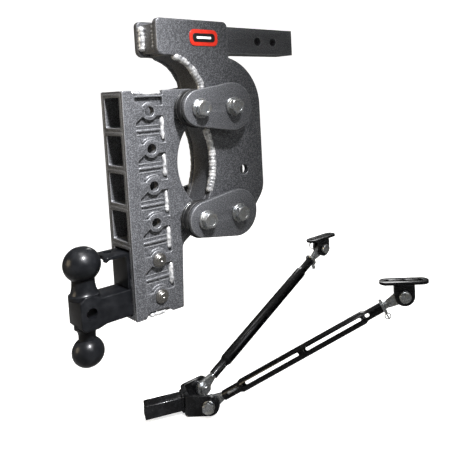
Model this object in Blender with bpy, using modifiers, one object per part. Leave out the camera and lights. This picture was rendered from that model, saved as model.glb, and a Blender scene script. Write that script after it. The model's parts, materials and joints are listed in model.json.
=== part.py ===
"""Torsion-flex drop hitch with its stabiliser strut kit.

Built in metres, +Z up. +X points to the tow vehicle, -X to the trailer and
-Y to the vehicle's right. The origin is the centre of the shank's end face.
"""
import math

import bmesh
import bpy
from mathutils import Matrix, Vector

# ---- clearances -------------------------------------------------------------
GAP = 0.0003              # between pieces that touch
SLIP = 0.0004             # round a part that slides in its socket
RUN = 0.0004              # round a shaft that turns in its bore

# ---- shank ------------------------------------------------------------------
SHANK_SIZE = 0.0508
SHANK_LENGTH = 0.3195
PIN_HOLE_R = 0.0088
PIN_HOLE_X = (-0.0535, -0.0940)

# ---- frame plates and web ---------------------------------------------------
PLATE_T = 0.0124
PLATE_TOP_MARGIN = 0.0071
PLATE_UNDER_MARGIN = 0.0051
ARM_REACH = 0.1275
BLOCK_REACH = 0.0225
BACK_RADIUS = 0.0935
NECK_REACH = 0.0440
NECK_BULGE = 0.0207
ARM_FILLET = 0.0620
WEB_T = 0.0100
FRAME_HOLE_R = 0.0095
FRAME_HOLE_DX = 0.0458
FRAME_HOLE_DZ = 0.0722
BADGE_W = 0.0600
BADGE_H = 0.0290
BADGE_T = 0.0012

# ---- links ------------------------------------------------------------------
FRAME_AXIS_X = -0.2005
UPPER_AXIS_Z = -0.1245
LINK_PITCH = 0.1957
LINK_SPACING = 0.0720
LINK_R_TOWER = 0.0320
LINK_R_FRAME = 0.0440
LINK_T = 0.0100
BUSH_R = 0.0345
BUSH_LENGTH = 0.0243
SHAFT_R = 0.0120
BOLT_R = 0.0060
BOLT_DEPTH = 0.0180
HEAD_AF = 0.0250
HEAD_H = 0.0110
WASHER_R = 0.0170
WASHER_T = 0.0050

# ---- tower ------------------------------------------------------------------
TUBE_COUNT = 6
TUBE_PITCH = 0.0635
TUBE_WALL = 0.00635
TUBE_LENGTH = 0.0750
TUBE_CORNER = 0.0040
TOP_HOLE_DROP = 0.0010
TOWER_AXIS_DEPTH = 0.1250
CROSS_HOLE_DEPTH = 0.0480
CROSS_HOLE_R = 0.0083
SIDE_T = 0.0060
TOWER_TOP_MARGIN = 0.0357
TOWER_FOOT_MARGIN = 0.0324
STRIP_W = 0.0220
POCKET_END = 0.0740
BOSS_R = 0.0150
FOOT_DEPTH = 0.0913
WAIST_DEPTH = 0.0970
LOBE_REACH = 0.0250
LOBE_DROP = 0.0300

# ---- ball mount, pintle lock and their pins ---------------------------------
BALL_TOP_R = 0.02937
BALL_LOW_R = 0.0254
BALL_X = 0.0692
BALL_TOP_Z = 0.0775
BALL_LOW_Z = 0.0672
NECK_TOP_R = 0.0180
NECK_LOW_R = 0.0135
ARM_CLEARANCE = 0.00275
ARM_IN = 0.0700
BLOCK_FRONT = 0.0865
BLOCK_BACK = 0.0530
BLOCK_HOLE_R = 0.0088
LOCK_PLATE_T = 0.0046
LOCK_TAB_REACH = 0.0430
LOCK_TAB_T = 0.0050
LOCK_HOLE_R = 0.0065
BALL_SPACE = 0.0035
PIN_R = 0.0079
PIN_HEAD_R = 0.0120
PIN_HEAD_T = 0.0080

# ---- stabiliser kit ---------------------------------------------------------
KIT_X = -0.1975
KIT_Y = 0.1685
KIT_Z = -0.7730
KIT_YAW = math.radians(-22.3)
STRUT_SPREAD = math.radians(24.2)
STRUT_RISE = math.radians(28.0)
INSERT_SIZE = 0.03175
INSERT_WALL = 0.0045
INSERT_LENGTH = 0.0815
YOKE_T = 0.0090
YOKE_H = 0.0450
YOKE_BOLT_A = 0.0537
YOKE_BOLT_B = 0.0374
STRUT_LENGTH = 0.4870
JAW_T = 0.0100
JAW_R = 0.0165
JAW_BOLT_R = 0.0079
ROD_R = 0.0079
BODY_START = 0.0352
BODY_END = 0.4318
COLLAR_R = 0.0108
BODY_R = 0.0142
COLLAR_L = 0.0460
BODY_SLOT_W = 0.0085
SLOT_ROLL = {"right": math.radians(-20.0), "left": 0.0}
ROD_IN_BODY = 0.0290
JAW_ROD_IN_BODY = 0.0420
RING_R = 0.0160
RING_T = 0.0050
KIT_HEAD_AF = 0.0238
KIT_HEAD_H = 0.0100
PLATE_L = 0.1060
PLATE_W = 0.0320
PLATE_THICK = 0.0064
PLATE_HOLE_R = 0.0050
PLATE_HOLE_PITCH = 0.0360
BRACKET_RISE = 0.0320
EAR_R = 0.0215
EAR_T = 0.0064
BRACKET_PIN_R = 0.0079
BRACKET_PIN_HEAD_R = 0.0128
CLIP_WIRE_R = 0.0013
CLIP_LOOP = 0.0260

# ---- places that follow from the sizes above --------------------------------
LOWER_AXIS_Z = UPPER_AXIS_Z - LINK_PITCH
TOWER_AXIS_X = FRAME_AXIS_X - LINK_SPACING
TOWER_X = TOWER_AXIS_X - TOWER_AXIS_DEPTH
HOLE_X = TOWER_X + CROSS_HOLE_DEPTH
TOP_HOLE_Z = UPPER_AXIS_Z - TOP_HOLE_DROP
LOW_HOLE_Z = TOP_HOLE_Z - (TUBE_COUNT - 1) * TUBE_PITCH
NEXT_HOLE_Z = LOW_HOLE_Z + TUBE_PITCH
FRAME_IN = SHANK_SIZE / 2 + GAP
FRAME_OUT = FRAME_IN + PLATE_T
TUBE_OUT = (TUBE_PITCH - GAP) / 2
TUBE_IN = TUBE_OUT - TUBE_WALL
SIDE_IN = TUBE_OUT + GAP
SIDE_OUT = SIDE_IN + SIDE_T
BUSH_IN = max(FRAME_OUT, SIDE_OUT) + GAP
BUSH_OUT = BUSH_IN + BUSH_LENGTH
LINK_IN = BUSH_OUT + GAP
LINK_OUT = LINK_IN + LINK_T
ARM_HEIGHT = 2 * (TUBE_IN - ARM_CLEARANCE)
ARM_TOP = LOW_HOLE_Z + ARM_HEIGHT / 2
ARM_HALF = TUBE_IN - SLIP


# ---- scene helpers ----------------------------------------------------------
def clear_scene():
    for obj in list(bpy.data.objects):
        bpy.data.objects.remove(obj, do_unlink=True)


def make_collection(name):
    col = bpy.data.collections.new(name)
    bpy.context.scene.collection.children.link(col)
    return col


def make_material(name, colour, roughness, metallic):
    mat = bpy.data.materials.new(name)
    mat.use_nodes = True
    shader = mat.node_tree.nodes["Principled BSDF"]
    shader.inputs["Base Color"].default_value = (*colour, 1.0)
    shader.inputs["Roughness"].default_value = roughness
    shader.inputs["Metallic"].default_value = metallic
    return mat


LOOKS = {
    "gunmetal": ((0.055, 0.055, 0.058), 0.50, 0.55),
    "satin_black": ((0.018, 0.019, 0.022), 0.42, 0.20),
    "gloss_black": ((0.010, 0.010, 0.011), 0.22, 0.20),
    "zinc": ((0.62, 0.64, 0.66), 0.32, 0.95),
    "stainless": ((0.60, 0.58, 0.54), 0.25, 1.00),
    "rubber": ((0.020, 0.020, 0.020), 0.70, 0.00),
    "badge_red": ((0.60, 0.05, 0.03), 0.35, 0.00),
}


def link_part(obj, name, look, parent=None, local=False):
    """Name a finished piece, give it its own material and its parent."""
    obj.name = name
    obj.data.name = name
    for col in list(obj.users_collection):
        col.objects.unlink(obj)
    PARTS.objects.link(obj)
    obj.data.materials.clear()
    colour, roughness, metallic = LOOKS[look]
    obj.data.materials.append(make_material(name, colour, roughness, metallic))
    if parent is not None:
        obj.parent = parent
        if not local:
            obj.matrix_parent_inverse = parent.matrix_world.inverted()
            return obj
        for mod in obj.modifiers:
            if mod.type == "BOOLEAN":
                mod.object.parent = parent
    return obj


def make_empty(name, matrix, parent=None):
    empty = bpy.data.objects.new(name, None)
    PARTS.objects.link(empty)
    empty.empty_display_size = 0.02
    empty.matrix_world = matrix
    if parent is not None:
        empty.parent = parent
        empty.matrix_parent_inverse = parent.matrix_world.inverted()
    bpy.context.view_layer.update()
    return empty


def make_tool(obj):
    """Put a cutter or a joined-on shape away, out of the model."""
    for col in list(obj.users_collection):
        col.objects.unlink(obj)
    TOOLS.objects.link(obj)
    obj.hide_render = True
    obj.display_type = "WIRE"
    return obj


def boolean(obj, tool, operation):
    make_tool(tool)
    mod = obj.modifiers.new(operation.lower(), "BOOLEAN")
    mod.operation = operation
    mod.solver = "EXACT"
    mod.object = tool
    return obj


def cut(obj, tool):
    return boolean(obj, tool, "DIFFERENCE")


def unite(obj, tool):
    return boolean(obj, tool, "UNION")


# ---- shape helpers ----------------------------------------------------------
def bmesh_object(name, bm, matrix=None):
    mesh = bpy.data.meshes.new(name)
    if matrix is not None:
        bm.transform(matrix)
    bm.to_mesh(mesh)
    bm.free()
    obj = bpy.data.objects.new(name, mesh)
    bpy.context.scene.collection.objects.link(obj)
    return obj


def box(name, low, high, bevel=0.0):
    bm = bmesh.new()
    bmesh.ops.create_cube(bm, size=1.0)
    size = [b - a for a, b in zip(low, high)]
    mid = [(a + b) / 2 for a, b in zip(low, high)]
    bm.transform(Matrix.Translation(mid) @ Matrix.Diagonal((*size, 1.0)))
    obj = bmesh_object(name, bm)
    if bevel > 0.0:
        mod = obj.modifiers.new("edges", "BEVEL")
        mod.width = bevel
        mod.segments = 2
        mod.limit_method = "ANGLE"
    return obj


def cylinder(name, radius, start, end, sides=16, radius_end=None):
    """A cylinder or cone whose axis runs from start to end."""
    start = Vector(start)
    axis = Vector(end) - start
    turn = Vector((0, 0, 1)).rotation_difference(axis).to_matrix().to_4x4()
    place = Matrix.Translation(start + axis / 2) @ turn
    bm = bmesh.new()
    bmesh.ops.create_cone(
        bm, cap_ends=True, segments=sides, radius1=radius,
        radius2=radius if radius_end is None else radius_end, depth=axis.length,
    )
    return bmesh_object(name, bm, place)


def hexagon(name, across_flats, start, end):
    return cylinder(name, across_flats / math.sqrt(3), start, end, sides=6)


def arc(cx, cz, radius, a0, a1, steps):
    """Points on an arc, from angle a0 to a1 in degrees."""
    out = []
    for i in range(steps + 1):
        a = math.radians(a0 + (a1 - a0) * i / steps)
        out.append((cx + radius * math.cos(a), cz + radius * math.sin(a)))
    return out


def bulge(p0, p1, sagitta, steps):
    """An arc from p0 to p1; a positive sagitta bows it to the right of travel."""
    a, b = Vector(p0), Vector(p1)
    half = (b - a).length / 2
    radius = (half * half + sagitta * sagitta) / (2 * abs(sagitta))
    along = (b - a).normalized()
    side = Vector((along.y, -along.x)) * (1 if sagitta > 0 else -1)
    centre = (a + b) / 2 + side * (abs(sagitta) - radius)
    start = a - centre
    angle = start.angle_signed(b - centre)
    out = []
    for i in range(steps + 1):
        turn = -angle * i / steps
        c, s = math.cos(turn), math.sin(turn)
        out.append((centre.x + start.x * c - start.y * s, centre.y + start.x * s + start.y * c))
    return out


def fillet(corners, steps=2):
    """A closed outline from (x, z, radius) corners."""
    out = []
    n = len(corners)
    for i, (x, z, r) in enumerate(corners):
        here = Vector((x, z))
        if r <= 0.0:
            out.append((x, z))
            continue
        back = (Vector(corners[i - 1][:2]) - here).normalized()
        ahead = (Vector(corners[(i + 1) % n][:2]) - here).normalized()
        half = back.angle(ahead) / 2
        reach = r / math.tan(half)
        centre = here + (back + ahead).normalized() * (r / math.sin(half))
        first = here + back * reach - centre
        total = first.angle_signed(here + ahead * reach - centre)
        for k in range(steps + 1):
            turn = -total * k / steps
            c, s = math.cos(turn), math.sin(turn)
            out.append((centre.x + first.x * c - first.y * s, centre.y + first.x * s + first.y * c))
    return out


def circle(cx, cz, radius, sides=16):
    return arc(cx, cz, radius, 0.0, 360.0 * (sides - 1) / sides, sides - 1)


def flat_outline(name, loops, thickness, matrix):
    """A flat plate from closed loops, the first its outline, the rest holes."""
    curve = bpy.data.curves.new(name, "CURVE")
    curve.dimensions = "2D"
    curve.fill_mode = "BOTH"
    curve.extrude = thickness / 2
    for loop in loops:
        spline = curve.splines.new("POLY")
        spline.points.add(len(loop) - 1)
        for point, (x, z) in zip(spline.points, loop):
            point.co = (x, z, 0.0, 1.0)
        spline.use_cyclic_u = True
    holder = bpy.data.objects.new(name, curve)
    bpy.context.scene.collection.objects.link(holder)
    bpy.context.view_layer.update()
    graph = bpy.context.evaluated_depsgraph_get()
    mesh = bpy.data.meshes.new_from_object(holder.evaluated_get(graph))
    bpy.data.objects.remove(holder, do_unlink=True)
    bm = bmesh.new()
    bm.from_mesh(mesh)
    bmesh.ops.remove_doubles(bm, verts=bm.verts, dist=0.00001)
    bmesh.ops.recalc_face_normals(bm, faces=bm.faces)
    bpy.data.meshes.remove(mesh)
    return bmesh_object(name, bm, matrix)


def side_plate(name, loops, y_low, y_high):
    """A plate in the XZ plane, between two values of Y."""
    place = Matrix.Translation((0, (y_low + y_high) / 2, 0)) @ Matrix.Rotation(math.pi / 2, 4, "X")
    return flat_outline(name, loops, y_high - y_low, place)


def turned(name, profile, sides=20):
    """A solid of revolution about Z from (radius, z) points, top to bottom."""
    mesh = bpy.data.meshes.new(name)
    bm = bmesh.new()
    verts = [bm.verts.new((r, 0.0, z)) for r, z in profile]
    for a, b in zip(verts, verts[1:]):
        bm.edges.new((a, b))
    bm.to_mesh(mesh)
    bm.free()
    obj = bpy.data.objects.new(name, mesh)
    bpy.context.scene.collection.objects.link(obj)
    mod = obj.modifiers.new("turn", "SCREW")
    mod.steps = sides
    mod.render_steps = sides
    mod.use_merge_vertices = True
    mod.merge_threshold = 0.00001
    return obj


def solid_of(obj):
    """The evaluated mesh of an object, as a plain object in its place."""
    bpy.context.view_layer.update()
    graph = bpy.context.evaluated_depsgraph_get()
    mesh = bpy.data.meshes.new_from_object(obj.evaluated_get(graph))
    mesh.transform(obj.matrix_world)
    out = bpy.data.objects.new(obj.name + "_solid", mesh)
    bpy.context.scene.collection.objects.link(out)
    bpy.data.objects.remove(obj, do_unlink=True)
    return out


def both_sides():
    return (("right", -1.0), ("left", 1.0))


def span(side, near, far):
    """The low and high Y of a piece between two distances from the middle."""
    return (near, far) if side > 0 else (-far, -near)


# ---- frame ------------------------------------------------------------------
def neck_line():
    """The trailer side of the frame, from the arm's underside to the foot."""
    top = -SHANK_SIZE / 2 - PLATE_UNDER_MARGIN
    neck_x = FRAME_AXIS_X - NECK_REACH
    fillet_z = top - ARM_FILLET
    upper = arc(neck_x - ARM_FILLET, fillet_z, ARM_FILLET, 90.0, 0.0, 7)
    bow = bulge(
        (neck_x, UPPER_AXIS_Z - 0.0205), (neck_x, LOWER_AXIS_Z + 0.0232), -NECK_BULGE, 7,
    )
    return upper + bow


def frame_outline():
    top = SHANK_SIZE / 2 + PLATE_TOP_MARGIN
    under = -SHANK_SIZE / 2 - PLATE_UNDER_MARGIN
    arm_x = FRAME_AXIS_X - ARM_REACH
    block_x = FRAME_AXIS_X + BLOCK_REACH
    back_x = FRAME_AXIS_X + BACK_RADIUS
    foot_z = LOWER_AXIS_Z - 0.0428
    start = math.degrees(math.acos(BLOCK_REACH / BACK_RADIUS))
    head = fillet([
        (block_x + 0.001, -0.060, 0.0), (block_x, top, 0.010), (arm_x, top, 0.009),
        (arm_x, under, 0.0115), (arm_x + 0.030, under, 0.0),
    ])[1:-1]
    foot = fillet([
        (FRAME_AXIS_X - NECK_REACH, LOWER_AXIS_Z + 0.020, 0.0),
        (FRAME_AXIS_X - NECK_REACH, foot_z + 0.020, 0.014),
        (FRAME_AXIS_X - 0.025, foot_z, 0.012),
        (FRAME_AXIS_X + 0.038, foot_z, 0.030),
        (back_x, LOWER_AXIS_Z + 0.0272, 0.045),
        (back_x, LOWER_AXIS_Z + 0.080, 0.0),
    ], 3)[1:-1]
    back = arc(FRAME_AXIS_X, UPPER_AXIS_Z, BACK_RADIUS, 0.0, start, 7)
    return head + neck_line() + foot + back


def build_shank():
    half = SHANK_SIZE / 2
    shank = box("shank", (-SHANK_LENGTH, -half, -half), (0.0, half, half), 0.0012)
    for x in PIN_HOLE_X:
        cut(shank, cylinder("cut", PIN_HOLE_R, (x, -half * 2, 0), (x, half * 2, 0)))
    link_part(shank, "shank", "gunmetal")


def build_frame_plates():
    hole = (FRAME_AXIS_X + FRAME_HOLE_DX, LOWER_AXIS_Z + FRAME_HOLE_DZ)
    loops = [frame_outline(), circle(*hole, FRAME_HOLE_R, 12)]
    for z in (UPPER_AXIS_Z, LOWER_AXIS_Z):
        loops.append(circle(FRAME_AXIS_X, z, SHAFT_R + RUN))
    for word, side in both_sides():
        plate = side_plate("plate", loops, *span(side, FRAME_IN, FRAME_OUT))
        link_part(plate, "frame_plate_" + word, "gunmetal")


def build_frame_web():
    """The curved plate between the two frame plates, flush with their edge."""
    line = [Vector(p) for p in neck_line()]
    line.append(Vector((FRAME_AXIS_X - NECK_REACH, LOWER_AXIS_Z - 0.008)))
    inner = []
    for i, point in enumerate(line):
        before = line[max(i - 1, 0)]
        after = line[min(i + 1, len(line) - 1)]
        along = (after - before).normalized()
        inner.append(point + Vector((-along.y, along.x)) * WEB_T)
    inner[0].y = min(inner[0].y, -SHANK_SIZE / 2 - GAP)
    roof = -SHANK_SIZE / 2 - GAP
    outline = [tuple(p) for p in line] + [(p.x, min(p.y, roof)) for p in reversed(inner)]
    web = side_plate("web", [outline], -FRAME_IN + 2 * GAP, FRAME_IN - 2 * GAP)
    link_part(web, "frame_web", "gunmetal")


def build_badge():
    mid_x = FRAME_AXIS_X - 0.0320
    mid_z = 0.0010
    w, h, r = BADGE_W / 2, BADGE_H / 2, 0.010
    outline = fillet([
        (mid_x - w, mid_z - h, r), (mid_x + w, mid_z - h, r),
        (mid_x + w, mid_z + h, r), (mid_x - w, mid_z + h, r),
    ])
    y = -FRAME_OUT - GAP
    badge = side_plate("badge", [outline], y - BADGE_T, y)
    link_part(badge, "frame_badge", "badge_red")


def build_bushes(group, x, parent):
    """The rubber torsion bushes outboard of one pair of plates."""
    for level, z in (("upper", UPPER_AXIS_Z), ("lower", LOWER_AXIS_Z)):
        for word, side in both_sides():
            bush = cylinder("bush", BUSH_R, (x, side * BUSH_IN, z), (x, side * BUSH_OUT, z), 20)
            cut(bush, cylinder("cut", SHAFT_R + RUN, (x, 0, z), (x, side * 0.1, z)))
            link_part(bush, f"{group}_bush_{level}_{word}", "rubber", parent)


# ---- links ------------------------------------------------------------------
def link_outline(z):
    """The hull of a small circle at the tower and a large one at the frame."""
    lean = math.degrees(math.asin((LINK_R_FRAME - LINK_R_TOWER) / LINK_SPACING))
    big = arc(FRAME_AXIS_X, z, LINK_R_FRAME, -90.0 - lean, 90.0 + lean, 11)
    small = arc(TOWER_AXIS_X, z, LINK_R_TOWER, 90.0 + lean, 270.0 - lean, 8)
    return big + small


def build_links(level, z, parent):
    for word, side in both_sides():
        loops = [link_outline(z)]
        for x in (TOWER_AXIS_X, FRAME_AXIS_X):
            loops.append(circle(x, z, BOLT_R + GAP, 12))
        plate = side_plate("link", loops, *span(side, LINK_IN, LINK_OUT))
        link_part(plate, f"{level}_link_{word}", "gunmetal", parent)
    reach = LINK_IN - GAP
    for place, x in (("tower", TOWER_AXIS_X), ("frame", FRAME_AXIS_X)):
        shaft = cylinder("shaft", SHAFT_R, (x, -reach, z), (x, reach, z))
        for word, side in both_sides():
            tap_end = side * (reach - BOLT_DEPTH - GAP)
            cut(shaft, cylinder("cut", BOLT_R + GAP, (x, tap_end, z), (x, side * 0.1, z), 12))
        link_part(shaft, f"{level}_shaft_{place}", "zinc", parent)
        for word, side in both_sides():
            face = side * (LINK_OUT + GAP)
            seat = face + side * WASHER_T
            bolt = cylinder("bolt", WASHER_R, (x, face, z), (x, seat, z))
            head_end = (x, seat + side * HEAD_H, z)
            unite(bolt, hexagon("head", HEAD_AF, (x, seat - side * 0.001, z), head_end))
            stud_end = (x, side * (reach - BOLT_DEPTH), z)
            unite(bolt, cylinder("stud", BOLT_R, (x, seat - side * 0.002, z), stud_end, 12))
            link_part(bolt, f"{level}_bolt_{place}_{word}", "zinc", parent)


# ---- tower ------------------------------------------------------------------
def tower_outline():
    foot = LOW_HOLE_Z - TOWER_FOOT_MARGIN
    top = TOP_HOLE_Z + TOWER_TOP_MARGIN
    rear = TOWER_AXIS_X + LOBE_REACH
    lobe_bottom = LOWER_AXIS_Z - LOBE_DROP
    lower_end = (rear, LOWER_AXIS_Z + 0.0094)
    upper_end = (rear, UPPER_AXIS_Z - 0.0087)
    waist = LINK_PITCH * 0.276
    before = fillet([
        (TOWER_X, top - 0.010, 0.0), (TOWER_X, foot, 0.0), (TOWER_X + 0.0177, foot, 0.0),
        (TOWER_X + 0.0253, foot + 0.0102, 0.0), (TOWER_X + 0.0585, foot + 0.009, 0.0),
        (TOWER_X + 0.0700, foot, 0.0), (TOWER_X + FOOT_DEPTH, foot, 0.0015),
        (TOWER_X + WAIST_DEPTH, lobe_bottom - 0.012, 0.016),
        (TOWER_X + WAIST_DEPTH + 0.018, lobe_bottom, 0.004),
        (rear, lobe_bottom, 0.020), (*lower_end, 0.0),
    ])
    middle = bulge(lower_end, upper_end, -waist, 9)[1:-1]
    after = fillet([
        (*upper_end, 0.0), (rear, top, 0.012), (TOWER_X + 0.0740, top, 0.0),
        (TOWER_X + 0.0740, top - 0.0085, 0.0), (TOWER_X + 0.0215, top - 0.0085, 0.003),
        (TOWER_X + 0.0165, top, 0.003), (TOWER_X, top, 0.003), (TOWER_X, top - 0.015, 0.0),
    ])[:-1]
    return before[1:] + middle + after


def pocket_outline(z_above, z_below):
    """An opening between two pin bosses that shows the tubes behind it."""
    left = TOWER_X + STRIP_W
    right = TOWER_X + POCKET_END
    high = z_above - 0.0080
    low = z_below + 0.0092
    roof = arc(HOLE_X, z_above, BOSS_R, -32.0, -148.0, 4)
    floor = arc(HOLE_X, z_below, BOSS_R + 0.002, 148.0, 32.0, 4)
    return (
        [(right, high), (HOLE_X + 0.0152, high)] + roof
        + [(left, z_above - 0.0180), (left, low + 0.002), (left + 0.004, low - 0.001)]
        + floor + [(right, low)]
    )


def top_pocket_outline(z_below, top):
    left = TOWER_X + STRIP_W
    right = TOWER_X + POCKET_END - 0.001
    low = z_below + 0.0092
    floor = arc(HOLE_X, z_below, BOSS_R + 0.001, 142.0, 38.0, 4)
    return [(left, top - 0.0120), (left, low + 0.0090)] + floor + [(right, low), (right, top - 0.0120)]


def build_tower_plates(parent):
    holes = [TOP_HOLE_Z - i * TUBE_PITCH for i in range(TUBE_COUNT)]
    loops = [tower_outline()]
    loops.append(top_pocket_outline(holes[0], TOP_HOLE_Z + TOWER_TOP_MARGIN))
    for above, below in zip(holes, holes[1:]):
        loops.append(pocket_outline(above, below))
    for z in holes:
        loops.append(circle(HOLE_X, z, CROSS_HOLE_R, 12))
    for z in (UPPER_AXIS_Z, LOWER_AXIS_Z):
        loops.append(circle(TOWER_AXIS_X, z, SHAFT_R + RUN))
    for word, side in both_sides():
        plate = side_plate("side", loops, *span(side, SIDE_IN, SIDE_OUT))
        link_part(plate, "tower_plate_" + word, "gunmetal", parent)


def build_receiver_tubes(parent):
    place = Matrix((
        (0, 0, 1, TOWER_X + TUBE_LENGTH / 2), (1, 0, 0, 0), (0, 1, 0, 0), (0, 0, 0, 1),
    ))
    for i in range(TUBE_COUNT):
        z = TOP_HOLE_Z - i * TUBE_PITCH
        loops = []
        for half, r in ((TUBE_OUT, TUBE_CORNER), (TUBE_IN, TUBE_CORNER * 0.6)):
            loops.append(fillet([
                (-half, z - half, r), (half, z - half, r), (half, z + half, r), (-half, z + half, r),
            ], 2))
        tube = flat_outline("tube", loops, TUBE_LENGTH, place)
        reach = TUBE_OUT * 1.5
        cut(tube, cylinder("cut", CROSS_HOLE_R, (HOLE_X, -reach, z), (HOLE_X, reach, z), 12))
        link_part(tube, f"receiver_tube_{i + 1}", "gunmetal", parent)


# ---- ball mount and pintle lock ---------------------------------------------
def ball_profile(ball_r, flat_r, neck_r, neck_top, base_r, base_z, centre):
    """Half of a ball, its neck and its flared base, as (radius, z) points."""
    points = [(0.0, centre + math.sqrt(ball_r ** 2 - flat_r ** 2))]
    a0 = math.asin(flat_r / ball_r)
    a1 = math.pi - math.asin(neck_r / ball_r)
    for i in range(8):
        a = a0 + (a1 - a0) * i / 7
        points.append((ball_r * math.sin(a), centre + ball_r * math.cos(a)))
    points.append((neck_r, neck_top))
    rise = neck_top - base_z
    for i in range(1, 4):
        t = i / 3
        points.append((neck_r + (base_r - neck_r) * (1 - math.cos(t * math.pi / 2)),
                       neck_top - rise * math.sin(t * math.pi / 2) * 0.98))
    points.append((base_r, base_z - 0.004))
    points.append((0.0, base_z - 0.004))
    return points


def build_ball_mount(parent):
    mid = LOW_HOLE_Z
    low = mid - ARM_HEIGHT / 2
    front = TOWER_X - BLOCK_FRONT
    back = TOWER_X - BLOCK_BACK
    outline = fillet([
        (front, mid + 0.0215, 0.0015), (front, mid - 0.0200, 0.0015), (front + 0.006, mid - 0.0265, 0.003),
        (back - 0.006, mid - 0.0265, 0.004), (back + 0.008, low, 0.006), (TOWER_X + ARM_IN, low, 0.001),
        (TOWER_X + ARM_IN, ARM_TOP, 0.001), (back + 0.002, ARM_TOP, 0.006),
        (back - 0.014, mid + 0.0300, 0.006), (front + 0.010, mid + 0.0300, 0.006),
    ])
    body = side_plate("arm", [outline], -ARM_HALF, ARM_HALF)
    ball_x = TOWER_X - BALL_X
    top = turned("top_ball", ball_profile(
        BALL_TOP_R, 0.011, NECK_TOP_R, 0.052 + mid, 0.0245, 0.0290 + mid, BALL_TOP_Z + mid,
    ))
    top.location = (ball_x, 0, 0)
    unite(body, solid_of(top))
    low_ball = turned("low_ball", ball_profile(
        BALL_LOW_R, 0.008, NECK_LOW_R, 0.040, 0.0190, 0.0262, BALL_LOW_Z,
    ))
    low_ball.location = (ball_x, 0, mid)
    low_ball.rotation_euler = (math.pi, 0, 0)
    unite(body, solid_of(low_ball))
    hole_x = ball_x + 0.0005
    reach = ARM_HALF * 2
    cut(body, cylinder("cut", BLOCK_HOLE_R, (hole_x, -reach, mid + 0.0018), (hole_x, reach, mid + 0.0018)))
    cut(body, cylinder("cut", CROSS_HOLE_R, (HOLE_X, -reach, mid), (HOLE_X, reach, mid), 12))
    link_part(body, "ball_mount", "satin_black", parent)


def build_pintle_lock(parent):
    """A plate over the rung with a forward tab, on a block in its own tube."""
    high = NEXT_HOLE_Z + TUBE_IN - 0.0040
    low = ARM_TOP + 0.0010
    face = TOWER_X - GAP
    tab = fillet([
        (face, low, 0.0), (face, high, 0.0), (face - LOCK_TAB_REACH + 0.006, high, 0.006),
        (face - LOCK_TAB_REACH, high - 0.006, 0.0), (face - LOCK_TAB_REACH + 0.004, high - 0.0085, 0.0),
        (face - LOCK_TAB_REACH + 0.009, high - LOCK_TAB_T, 0.003),
        (face - LOCK_PLATE_T, high - LOCK_TAB_T, 0.003), (face - LOCK_PLATE_T, low, 0.0),
    ])
    lock = side_plate("lock", [tab], -ARM_HALF, ARM_HALF)
    block_low = NEXT_HOLE_Z - ARM_HEIGHT / 2
    block_high = high - 0.0010
    block = box(
        "block", (face - 0.002, -ARM_HALF, block_low), (TOWER_X + ARM_IN, ARM_HALF, block_high), 0.0,
    )
    unite(lock, block)
    ball_x = TOWER_X - BALL_X
    bite = BALL_TOP_R + BALL_SPACE
    cut(lock, cylinder("cut", bite, (ball_x, 0, high - 0.02), (ball_x, 0, high + 0.02)))
    x = TOWER_X - 0.0210
    cut(lock, cylinder("cut", LOCK_HOLE_R, (x, 0.010, high - 0.02), (x, 0.010, high + 0.02), 10))
    reach = ARM_HALF * 2
    ends = ((HOLE_X, -reach, NEXT_HOLE_Z), (HOLE_X, reach, NEXT_HOLE_Z))
    cut(lock, cylinder("cut", CROSS_HOLE_R, *ends, 12))
    link_part(lock, "pintle_lock", "satin_black", parent)


def build_hitch_pin(name, z, parent):
    """A headed pin along Y, its head on the vehicle's right."""
    seat = -SIDE_OUT - GAP
    profile = [
        (0.0, PIN_HEAD_T), (PIN_HEAD_R * 0.35, PIN_HEAD_T), (PIN_HEAD_R * 0.72, PIN_HEAD_T * 0.62),
        (PIN_HEAD_R * 0.78, PIN_HEAD_T * 0.50), (PIN_HEAD_R, PIN_HEAD_T * 0.42), (PIN_HEAD_R, 0.0),
        (PIN_R, 0.0), (PIN_R, seat * 2 - 0.012), (PIN_R * 0.7, seat * 2 - 0.016), (0.0, seat * 2 - 0.016),
    ]
    pin = turned(name, profile)
    pin.location = (HOLE_X, seat, z)
    pin.rotation_euler = (math.pi / 2, 0, 0)
    pin = solid_of(pin)
    link_part(pin, name, "stainless", parent)


# ---- stabiliser kit ---------------------------------------------------------
def strut_frames(base):
    """The matrices of each strut's bolt, and of the level pin at its far end."""
    out = {}
    for word, side in both_sides():
        turn = Matrix.Rotation(side * STRUT_SPREAD, 4, "Z")
        place = Matrix.Translation((YOKE_BOLT_A, side * YOKE_BOLT_B, 0))
        bolt = base @ place @ turn @ Matrix.Rotation(-STRUT_RISE, 4, "Y")
        pin = bolt @ Matrix.Translation((STRUT_LENGTH, 0, 0)) @ Matrix.Rotation(STRUT_RISE, 4, "Y")
        out[word] = (side, bolt, pin)
    return out


def build_insert_tube(parent):
    loops = []
    for half, r in ((INSERT_SIZE / 2, 0.0030), (INSERT_SIZE / 2 - INSERT_WALL, 0.0012)):
        loops.append(fillet([(-half, -half, r), (half, -half, r), (half, half, r), (-half, half, r)], 3))
    place = Matrix((
        (0, 0, 1, -INSERT_LENGTH / 2 - GAP), (1, 0, 0, 0), (0, 1, 0, 0), (0, 0, 0, 1),
    ))
    tube = flat_outline("insert", loops, INSERT_LENGTH, place)
    link_part(tube, "stabilizer_tube", "gloss_black", parent, local=True)


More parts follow.
